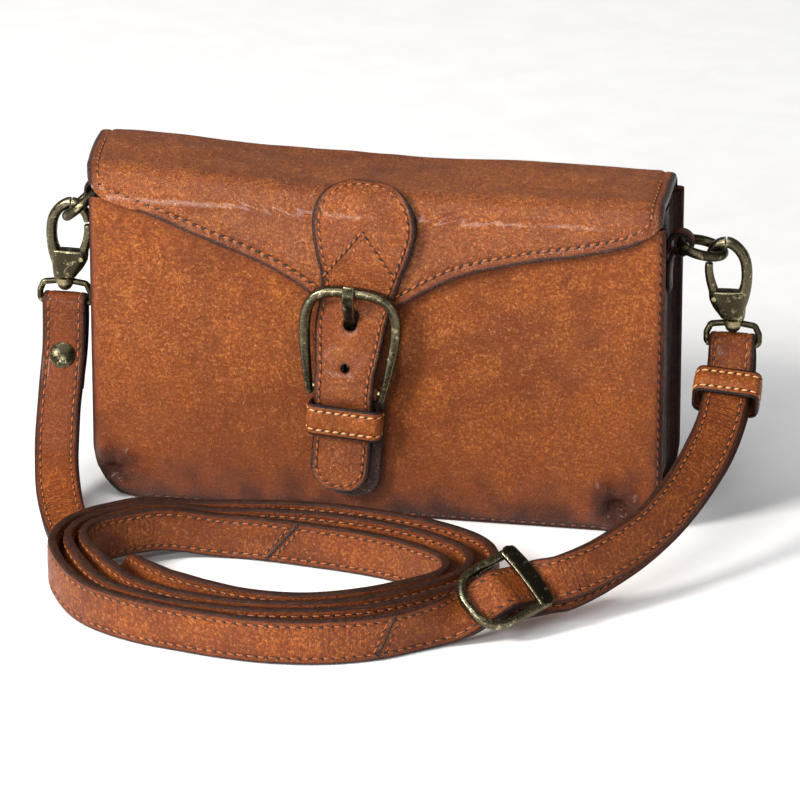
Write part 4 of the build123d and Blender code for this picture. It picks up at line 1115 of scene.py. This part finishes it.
class Route:
    """A strap's line with its frames, and the surface it makes."""

    def __init__(self, centres, across, thick, step=1.4, closed=False):
        rows = np.column_stack([centres, across, thick])
        if closed:
            rows = np.vstack([rows, rows[:1]])
        rows, self.s = evenly(rows, step)
        self.centres, self.thick = rows[:, :3], rows[:, 6]
        along = unit(np.gradient(self.centres, axis=0))
        if closed:
            along[0] = along[-1] = unit(self.centres[1] - self.centres[-2])
        self.side = unit(rows[:, 3:6] - along * (along * rows[:, 3:6]).sum(1, keepdims=True))
        self.face = np.cross(along, self.side)
        self.closed = closed
        self.table = np.column_stack([self.centres, self.side, self.face, self.thick])

    def at(self, t, w, h, sign=1):
        row = np.array([np.interp(t, self.s, self.table[:, k]) for k in range(10)])
        return row[:3] + row[3:6] * w + row[6:9] * (sign * (row[9] / 2 + h))

    def mesh(self, width, nominal, seed=0, groove=SEAM_INSET, wander=0.16):
        section, edge = strap_section(width, nominal, groove)
        n = len(self.centres) - (1 if self.closed else 0)
        profile = np.repeat(section[None], n, 0)
        profile[..., 1] *= (self.thick[:n] / nominal)[:, None]
        for i in range(n):
            t = self.s[i]
            a, b = soft((t, 1, seed), 0.07, seed), soft((t, 5, seed), 0.3, seed)
            profile[i, :, 0] += np.sign(profile[i, :, 0]) * wander * a
            inside = np.abs(profile[i, :, 0]) < width / 2 - 0.6
            profile[i, :, 1] += np.sign(profile[i, :, 1]) * (0.10 * b + wander * 0.5 * a) * inside
        if not self.closed:
            for i, thinned in ((0, 0.55), (1, 0.9), (n - 2, 0.9), (n - 1, 0.55)):
                profile[i, :, 1] *= thinned
        pts, faces = swept(self.centres[:n], self.side[:n], self.face[:n], profile, self.closed)
        picks = [1 if e else 0 for e in edge] * (n if self.closed else n - 1)
        picks += [1] * (len(faces) - len(picks))
        depth = width / 2 - np.abs(section[:, 0])
        burn_and_shade = np.tile(np.clip(0.95 * np.exp(-depth / 0.75) + 0.28 * np.exp(-depth / 2.6), 0, 1), n)
        flow = np.column_stack([np.repeat(self.s[:n], len(section)), np.tile(section, (n, 1))])
        return pts, faces, picks, burn_and_shade, flow


def strap_rows(rows, steps=6):
    dense = catmull(rows, steps)
    return dense[:, :3], dense[:, 3:6], dense[:, 6]


def coil_lift(x, y):
    """How far the coil's last turn rises where the strap crosses under it."""
    away = np.hypot(x - CROSSING[0], y - CROSSING[1])
    share = np.clip((away - CROSSING_CORE) / (CROSSING_REACH - CROSSING_CORE), 0, 1)
    return CROSSING_LIFT * (0.5 + 0.5 * np.cos(math.pi * share))


def round_eye(x, radius, start):
    """Half turn of the strap round a swivel eye's bar."""
    t = np.linspace(start, -start, 14)[1:-1]
    return np.array([x, 0, EYE_BAR_Z]) + np.column_stack(
        [0 * t, radius * np.sin(t), radius * np.cos(t)])


def whole_strap():
    """One line: slider's bar, inner layer, right eye, outer layer, coil, left eye and back."""
    run_c, run_a, run_t = strap_rows(RUN_ROUTE, 8)
    first = RETURN_FIRST * 8
    gap = catmull(np.array(RETURN_GAP)[:, None], 8)[:, 0]
    out = unit(np.cross(unit(np.gradient(run_c, axis=0)), run_a))
    last = len(gap) - 1
    aside = np.interp(np.arange(len(gap)), [0, 14, 40, last - 25, last], [0, 2.4, 3.4, 2.0, 0])
    inner_c = run_c[first:] - out[first:] * gap[:, None] - run_a[first:] * aside[:, None]
    right_eye = round_eye(RIGHT["swivel"], 2.7, math.pi / 2)
    around_bar = [(3.5, 2.5), (-0.4, 2.45), (-1.75, 1.75), (-2.45, 0), (-1.75, -1.75), (-0.2, -2.4)]
    start_c = np.array([at_slider(along, 0, SLIDER_BAR_UP + up) for along, up in around_bar])
    coil = catmull([(x, y) for x, y in COIL_ROUTE[:-1]], 7)
    coil_c = np.column_stack([coil, STRAP_W / 2 + coil_lift(coil[:, 0], coil[:, 1])])
    x = -LEFT["swivel"]
    drop_rows = [(*COIL_ROUTE[-1], STRAP_W / 2, 0, 0, 1, STRAP_T)] + DROP_ROUTE[:-1] + [
        (-114.25, -4.6, 45, 1, 0, 0, 3.0), (x, -3.1, 51, 1, 0, 0, 2.6),
        (x, -2.5, 57, 1, 0, 0, 2.3), (x, -2.35, EYE_BAR_Z, 1, 0, 0, 2.3)]
    drop_c, drop_a, drop_t = strap_rows(drop_rows)
    left_eye = round_eye(x, 2.35, -math.pi / 2)
    back = catmull([(x, 2.35, EYE_BAR_Z, 2.3), (x, 2.3, 57, 2.3), (x, 0.9, 51, 2.3),
                    (x, -1.6, 44.4, 2.2), (x, -5.6, 37.5, 1.9), (-114.2, -7.7, 34.0, 1.3)], 5)
    # centres, direction across and thickness of each length, in order
    lengths = [(start_c, SLIDER_ACROSS, 2.5), (inner_c[1:], run_a[first + 1:], 2.6),
               (right_eye, (-1, 0, 0), 2.6), (run_c[8:][::-1], run_a[8:][::-1], run_t[8:][::-1]),
               (coil_c, (0, 0, 1), STRAP_T), (drop_c, drop_a, drop_t), (left_eye, (1, 0, 0), 2.3),
               (back[:, :3], (1, 0, 0), back[:, 3])]
    return (np.vstack([c for c, _, _ in lengths]),
            np.vstack([np.broadcast_to(across, c.shape) for c, across, _ in lengths]),
            np.concatenate([np.broadcast_to(thick, len(c)) for c, _, thick in lengths]))


STRAP = Route(*whole_strap())
pts, faces, picks, burn_and_shade, flow = STRAP.mesh(STRAP_W, STRAP_T, 3)
pts[:, 2] = np.maximum(pts[:, 2], 0.05)
# painted shade on the strap's drop down the left side
shaded = (1 - fall(-pts[:, 0] - 96, 12)) * (1 - fall(pts[:, 2] - 8, 12))
burn_and_shade = np.minimum(1.0, burn_and_shade + 0.30 * shaded)
make_piece("shoulder_strap", pts, faces, [M["strap"], M["edge"]], "shell", "strap_leather",
           picks=picks, burn_and_shade=burn_and_shade, flow=flow,
           replaces=("strap_coil", "strap_drop", "strap_run", "strap_return"))
strap_seam = Seams()
for side in (-1, 1):
    for row in (-1, 1):
        line = [(t, row * (STRAP_W / 2 - SEAM_INSET)) for t in np.arange(9, STRAP.s[-1] - 3, 2.0)]
        strap_seam.run(lambda t, w, h: STRAP.at(t, w, h, side), line, pitch=3.5, radius=0.33,
                       sink=0.24)


def scarf(place, side, lean):
    """Diagonal joint in the strap: a line of dark blobs across it that paints the shade of a step,
    with a row of stitches on each side.
    """
    near = float(STRAP.s[np.argmin(np.linalg.norm(STRAP.centres - place, axis=1))])
    top = lambda t, w, h: STRAP.at(t, w, h, side)
    for w in np.linspace(-7.0, 6.2, 16):
        t = near + lean * w
        p, q = top(t, w, 0.0), top(t + lean * 0.95, w + 0.95, 0.0)
        strap_seam.blob(p, q, unit(top(t, w, 1.0) - p), 0.55, 0.0, HOLE_SHADE_PICK, rings=4)
    for off in (-2.0, 2.0):
        line = [(near + off + lean * w, w) for w in np.linspace(-5.2, 5.2, 30)]
        strap_seam.run(top, line, pitch=2.6, radius=0.30, sink=0.05)


scarf((27.5, -147.4, STRAP_W / 2), -1, -0.45)
scarf((-22.5, -70.9, STRAP_W / 2), 1, 0.85)
strap_seam.make("strap_stitches", "shell", slot="strap_leather")


def band(name, centre, x_dir, z_dir, half_x, half_y, corner, width, thick, node, inset=2.1):
    """A closed leather loop: a rounded rectangle of leather across x_dir, its width along z_dir."""
    x_dir, z_dir = unit(np.array(x_dir, float)), unit(np.array(z_dir, float))
    x_dir = unit(x_dir - z_dir * x_dir.dot(z_dir))
    y_dir = np.cross(z_dir, x_dir)
    line = []
    for cx, cy, a0 in ((1, 1, 0), (-1, 1, 90), (-1, -1, 180), (1, -1, 270)):
        for a in np.linspace(a0, a0 + 90, 9):
            line.append((cx * (half_x - corner) + corner * math.cos(math.radians(a)),
                         cy * (half_y - corner) + corner * math.sin(math.radians(a))))
    line = np.array(line)
    bow = 0.35 * (1 - (line[:, 0] / half_x) ** 2) * np.sign(line[:, 1])
    centres = np.array(centre) + line[:, :1] * x_dir + (line[:, 1] + bow)[:, None] * y_dir
    loop = Route(centres, np.repeat([z_dir], len(line), 0), np.full(len(line), thick), step=0.9,
                 closed=True)
    pts, faces, picks, burn_and_shade, flow = loop.mesh(width, thick, 7, groove=inset, wander=0.05)
    make_piece(name, pts, faces, [M["keeper"], M["edge_dark"]], node, "tan_leather", picks=picks,
               burn_and_shade=burn_and_shade * 0.8, flow=flow, replaces=(node,))
    middle = loop.centres.mean(0)
    outward = 1 if (loop.face[5] * (loop.centres[5] - middle)).sum() > 0 else -1
    seam = Seams()
    for row in (-1, 1):
        line = [(t, row * (width / 2 - inset)) for t in np.arange(0, loop.s[-1], 0.9)]
        seam.run(lambda t, w, h: loop.at(t, w, h, outward), line, pitch=2.9, radius=0.34, sink=0.22)
    seam.make(name + "_stitches", node, "thread_light")


band("buckle_keeper", tilted((TAB_X - 0.7, -28.65, 37.0)), tilted_way((1, 0, 0)),
     tilted_way((0, 0, 1)), 12.35, 3.95, 2.4, 11.0, 1.6, "tab_keeper")


def keeper_place():
    """Middle of the doubled run where the strap keeper sits, with its directions."""
    run_c, run_a, _ = strap_rows(RUN_ROUTE, 4)
    gap = catmull(np.array(RETURN_GAP)[:, None], 4)[:, 0]
    first = RETURN_FIRST * 4
    i = int(np.argmin(np.abs(run_c[:, 2] - 52.5)))
    along = unit(run_c[i + 1] - run_c[i - 1])
    out = unit(np.cross(along, run_a[i]))
    return run_c[i] - out * gap[i - first] / 2, run_a[i], along


band("strap_loop", *keeper_place(), (STRAP_W + 6.1) / 2, 6.15, 2.6, 10.4, 1.5, "strap_keeper")


def ring_strap(side):
    """Small leather loop on the gusset that holds the side ring."""
    sg, (x, z) = side["sign"], side["loop"]
    arc = np.linspace(math.radians(-128), math.radians(196), 28)
    line = [(98.4, z - 17.5), (98.35, z - 12), (98.6, z - 7.0)]
    line += [(x + 3.75 * math.cos(a), z + 3.75 * math.sin(a)) for a in arc]
    line += [(97.6, z - 3.6)]
    line = np.array([(sg * px, 0.0, pz) for px, pz in line])
    route = Route(line, np.repeat([[0, 1.0, 0]], len(line), 0), np.full(len(line), 1.5), step=0.6)
    pts, faces, picks, burn_and_shade, flow = route.mesh(6.8, 1.5, 11, groove=1.4, wander=0.08)
    make_piece("ring_strap_" + side["body"], pts, faces, [M["loop"], M["edge_dark"]], "shell",
               "tan_leather", picks=picks, burn_and_shade=burn_and_shade * 0.6, flow=flow,
               replaces=("ring_loop_" + side["body"],))


ring_strap(LEFT)
ring_strap(RIGHT)


# ---- metal ----
def brass_piece(name, body, shape, node):
    make_piece(name, *shape, [M["brass"]], body, "antique_brass", replaces=(node,))


def limb(rows, up, power, count, steps=6, cap=0.0):
    """Points and faces of a cast bar: rows of centre, half width and half depth, domed by cap.

    A power of 2 gives a round section and a higher one a squarer section.
    """
    rows = catmull(rows, steps)
    centres, half_w, half_d = rows[:, :3], rows[:, 3], rows[:, 4]
    side, face = line_frames(centres, up)
    if cap:
        turn = np.linspace(math.pi / 2, 0.12, 6)[:-1, None]
        head = centres[:1] + unit(centres[0] - centres[1]) * cap * np.sin(turn)
        tail = centres[-1:] + unit(centres[-1] - centres[-2]) * cap * np.sin(turn[::-1])
        centres = np.vstack([head, centres, tail])
        k = np.cos(turn[:, 0]) + 0.02
        half_w, half_d = (np.concatenate([half[0] * k, half, half[-1] * k[::-1]])
                          for half in (half_w, half_d))
        side, face = (np.vstack([way[[0] * len(k)], way, way[[-1] * len(k)]])
                      for way in (side, face))
    ring = np.column_stack([np.cos(circle(count)), np.sin(circle(count))])
    base = np.sign(ring) * np.abs(ring) ** (2 / power)
    profile = base[None] * np.stack([half_w, half_d], -1)[:, None]
    return swept(centres, side, face, profile)


def make_buckle():
    x0, y = TAB_X - 1.0, BUCKLE_Y
    half = [(-12.65, 46.6, 1.65), (-13.5, 51, 1.85), (-14.5, 57, 2.1), (-15.5, 64, 2.3),
            (-15.9, 70, 2.4), (-15.5, 75.4, 2.45), (-13.8, 79.8, 2.45), (-10.5, 82.5, 2.45),
            (-5.6, 83.5, 2.4), (0, 83.7, 2.35)]
    rows = half + [(-u, z, r) for u, z, r in half[-2::-1]]
    line = [(*tilted((x0 + u, y - 0.25 * hump(z - 84, 8), z)), r, r * 0.8) for u, z, r in rows]
    bar_rows = [(*tilted((x0 + u, BAR_Y, BAR_Z)), 1.4, 1.4) for u in (-13, -6, 0, 6, 13)]
    shape = join([limb(line, (0, -1, 0), 2.3, 20, cap=1.3), limb(bar_rows, (0, -1, 0), 2.0, 18, 3)])
    brass_piece("buckle", "buckle", shape, "buckle_frame")


def make_prong():
    rows = [(-1.4, -31.4, 48.4, 1.6, 0.8), (-1.4, -31.0, 50.2, 1.6, 0.9),
            (-1.4, -28.6, 52.4, 1.6, 0.9), (-1.4, -26.2, 56.5, 1.6, 0.85),
            (-1.4, -26.3, 62.5, 1.6, 0.95), (-1.4, -25.9, 67.4, 1.7, 0.95),
            (-1.4, -27.3, 71.0, 1.8, 1.05), (-1.6, -30.0, 75.0, 1.95, 1.1),
            (-1.8, -32.4, 79.4, 2.05, 1.1), (-2.0, -33.6, 83.2, 2.1, 1.05),
            (-2.0, -33.3, 86.4, 2.0, 0.95)]
    shaft = limb([(*tilted((TAB_X + x, y, z)), w, d) for x, y, z, w, d in rows],
                 tilted_way((1, 0, 0)), 3.4, 20, cap=0.5)
    ring_rows = [(-1.75, 1.5), (-1.75, 2.3), (-1.55, 2.5), (1.55, 2.5), (1.75, 2.3), (1.75, 1.5)]
    ring, faces = lathe(ring_rows, 28,
                        lambda x, a, b: tilted((TAB_X - 1.0 + x, BAR_Y + a, BAR_Z + b)))
    faces += [(5 * 28 + j, 5 * 28 + (j + 1) % 28, (j + 1) % 28, j) for j in range(28)]
    brass_piece("prong", "prong", join([shaft, (ring, faces)]), "buckle_prong")


make_buckle()
make_prong()


def make_hook(side):
    """Swivel hook and its gate; rows are outward from the swivel, up, half width, half depth."""
    tail = side["body"]

    def cast(rows, power, count, steps, cap):
        return limb([(side["sign"] * (side["swivel"] + u), 0.0, z, w, d) for u, z, w, d in rows],
                    (1, 0, 0), power, count, steps, cap)

    base = cast([(0, 72.3, 3.0, 2.2), (0.1, 73.3, 4.0, 2.7), (-0.4, 75.6, 4.9, 2.9),
                 (-1.2, 78.4, 6.1, 2.95), (-1.6, 80.6, 6.8, 2.85), (-1.65, 82.2, 6.9, 2.7)],
                3.0, 24, 5, 0.9)
    arm = cast([(1.8, 77.5, 2.6, 2.3), (3.3, 81.5, 2.3, 2.3), (4.25, 85.5, 1.95, 2.2),
                (4.4, 90, 1.9, 2.1), (3.6, 94.4, 1.9, 2.1), (1.3, 97.9, 1.85, 2.1),
                (-2.0, 99.9, 1.85, 2.1), (-5.4, 99.2, 1.8, 2.1), (-7.8, 96.4, 1.6, 2.0),
                (-8.6, 93.9, 1.5, 1.9)], 2.5, 20, 6, 0.7)
    brass_piece("hook_" + tail, "hook_" + tail, join([base, arm]), "hook_body_" + tail)
    gate = cast([(-6.4, 79.4, 1.9, 1.55), (-6.9, 82.4, 1.7, 1.55), (-8.0, 86, 1.55, 1.5),
                 (-8.6, 89.5, 1.45, 1.5), (-8.6, 91.9, 1.4, 1.45)], 2.6, 18, 5, 0.5)
    brass_piece("gate_lever_" + tail, "gate_" + tail, gate, "hook_gate_" + tail)


make_hook(LEFT)
make_hook(RIGHT)


def make_slider():
    """Slider: a rounded loop closed by a flat plate, and a middle bar below it."""
    def local(rows):
        return [(*at_slider(a, b, c), w, d) for a, b, c, w, d in rows]

    corner = [(-2.8 - 9.2 * math.sin(t), 1.7 + 9.2 * math.cos(t))
              for t in np.linspace(0.2, math.pi / 2 - 0.03, 7)]
    half = [(12, 10.9), (7.5, 10.9), (3, 10.9), (-1, 10.9)] + corner
    path = half + [(a, -b) for a, b in half[::-1]]
    loop = limb(local([(a, b, 0, 1.75, 1.6) for a, b in path]), SLIDER_UP, 2.3, 18, 4)
    plate_rows = []
    for b in (-12.0, -11.7, -11.0, -8, -4, 0, 4, 8, 11.0, 11.7, 12.0):
        width = 3.1 - 0.3 * (b / 12) ** 2 - 1.5 * max(abs(b) - 11, 0) ** 2
        plate_rows.append((12 + 0.5 * (1 - (b / 12) ** 2), b, 0.9 + 0.7 * (1 - (b / 12.4) ** 2),
                           width, 1.0))
    plate = limb(local(plate_rows), SLIDER_ALONG, 5.0, 24, 4, cap=0.8)
    bar_rows = [(10.9, 0.3), (10.9, -2.2), (9.7, SLIDER_BAR_UP), (4, SLIDER_BAR_UP)]
    bar_rows = [(-b, c) for b, c in bar_rows] + bar_rows[::-1]
    middle = limb(local([(0, b, c, 1.2, 1.2) for b, c in bar_rows]), SLIDER_ALONG, 2.0, 14, 4)
    brass_piece("slider_frame", "shell", join([loop, plate, middle]), "strap_slider")


def make_rivet():
    """Rivet through the strap: a domed cap in front, a flat one behind and the post between."""
    centre, normal = np.array([-LEFT["swivel"], -4.6, 45.0]), unit(np.array([0, -0.9, 0.437]))
    side = np.array([1.0, 0, 0])
    up = np.cross(normal, side)
    place = lambda out, a, b: centre + normal * out + side * a + up * b
    dome_rows = [(1.0, 4.3), (1.35, 4.65), (1.75, 4.75), (2.1, 4.6), (2.3, 4.25), (2.55, 3.6),
                 (2.85, 2.7), (3.05, 1.7), (3.15, 0.7), (3.17, 0.05)]
    dome, dome_faces = lathe(dome_rows, 40, place)
    dome_faces += caps(len(dome_rows), 40)
    back_rows = [(-3.6, 1.2), (-3.6, 3.9), (-3.9, 4.1), (-4.4, 3.9), (-4.6, 3.2), (-4.65, 0.1)]
    back, back_faces = lathe(back_rows, 40, place)
    back_faces += caps(len(back_rows), 40)[1:]
    section = 1.5 * np.column_stack([np.cos(circle(18)), np.sin(circle(18))])
    post = swept(np.array([centre - normal * 3.4, centre + normal * 1.2]),
                 np.repeat([side], 2, 0), np.repeat([up], 2, 0), section)
    brass_piece("rivet", "shell", join([(dome, dome_faces), (back, back_faces), post]),
                "strap_rivet")


make_slider()
make_rivet()


# ---- camera, light and floor ----
def set_stage():
    az, el = math.radians(11), math.radians(20)
    view = Vector((-math.sin(az) * math.cos(el), math.cos(az) * math.cos(el), -math.sin(el)))
    right = Vector((math.cos(az), math.sin(az), 0))
    up = right.cross(view)
    data = bpy.data.cameras.new("camera")
    data.lens, data.sensor_width = 260.2, 36
    camera = add_object("camera", data)
    camera.location = Vector((0, 0, 0.060)) - view * 2.0 + right * 0.00456 + up * -0.0238
    camera.rotation_euler = view.to_track_quat("-Z", "Y").to_euler()
    bpy.context.scene.camera = camera

    g = Graph("floor_paper")
    coords = g.node("ShaderNodeTexCoord").outputs["Object"]
    tone = g.noise(coords, 40.0, 3.0)
    shades = rgb(246, 246, 246), rgb(250, 250, 250)
    paper = g.finish(g.mix(g.range(tone, 0.3, 0.7), *shades), 0.75)
    mesh = bpy.data.meshes.new("floor")
    mesh.from_pydata([(-6, -6, 0), (6, -6, 0), (6, 6, 0), (-6, 6, 0)], [], [(0, 1, 2, 3)])
    mesh.materials.append(paper)
    floor = add_object("floor", mesh)
    floor.location.z = -0.0003

    def lamp(name, place, aim, size, watts, tint=(1, 1, 1)):
        light = bpy.data.lights.new(name, "AREA")
        light.shape, light.size, light.size_y = "RECTANGLE", size[0], size[1]
        light.energy, light.color = watts, tint
        made = add_object(name, light)
        made.location = place
        made.rotation_euler = (Vector(aim) - Vector(place)).to_track_quat("-Z", "Y").to_euler()

    lamp("key", (-1.25, -1.25, 1.05), (0, -0.03, 0.07), (0.42, 0.42), 50, (1.0, 0.975, 0.935))
    lamp("top", (-0.42, -1.6, 0.58), (0, -0.02, 0.09), (0.5, 0.28), 13)
    lamp("fill", (1.4, -1.0, 0.7), (0, -0.03, 0.05), (0.6, 1.0), 3.5, (0.96, 0.98, 1.0))
    sun = bpy.data.lights.new("sky", "SUN")
    sun.energy, sun.angle = 1.5, 0.9
    add_object("sky", sun).rotation_euler = (math.radians(28), math.radians(-14), 0)
    world = bpy.data.worlds.new("studio")
    world.use_nodes = True
    background = world.node_tree.nodes["Background"].inputs
    background["Color"].default_value = (1, 1, 1, 1)
    background["Strength"].default_value = 0.20
    bpy.context.scene.world = world
    bpy.context.scene.view_settings.view_transform = "Standard"


NODE_LOOKS = {
    "lining": "lining", "pocket_panel": "lining", "zip_tape": "tape",
    "front_padding": "felt", "zip_teeth": "zip", "zip_slider": "zip", "zip_pull": "pull",
    "gate_spring_left": "steel", "gate_spring_right": "steel",
}
for node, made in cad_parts.items():
    if made.type != "MESH":
        continue
    made.data.materials.clear()
    made.data.materials.append(M[NODE_LOOKS.get(node, "brass_node")])

set_stage()
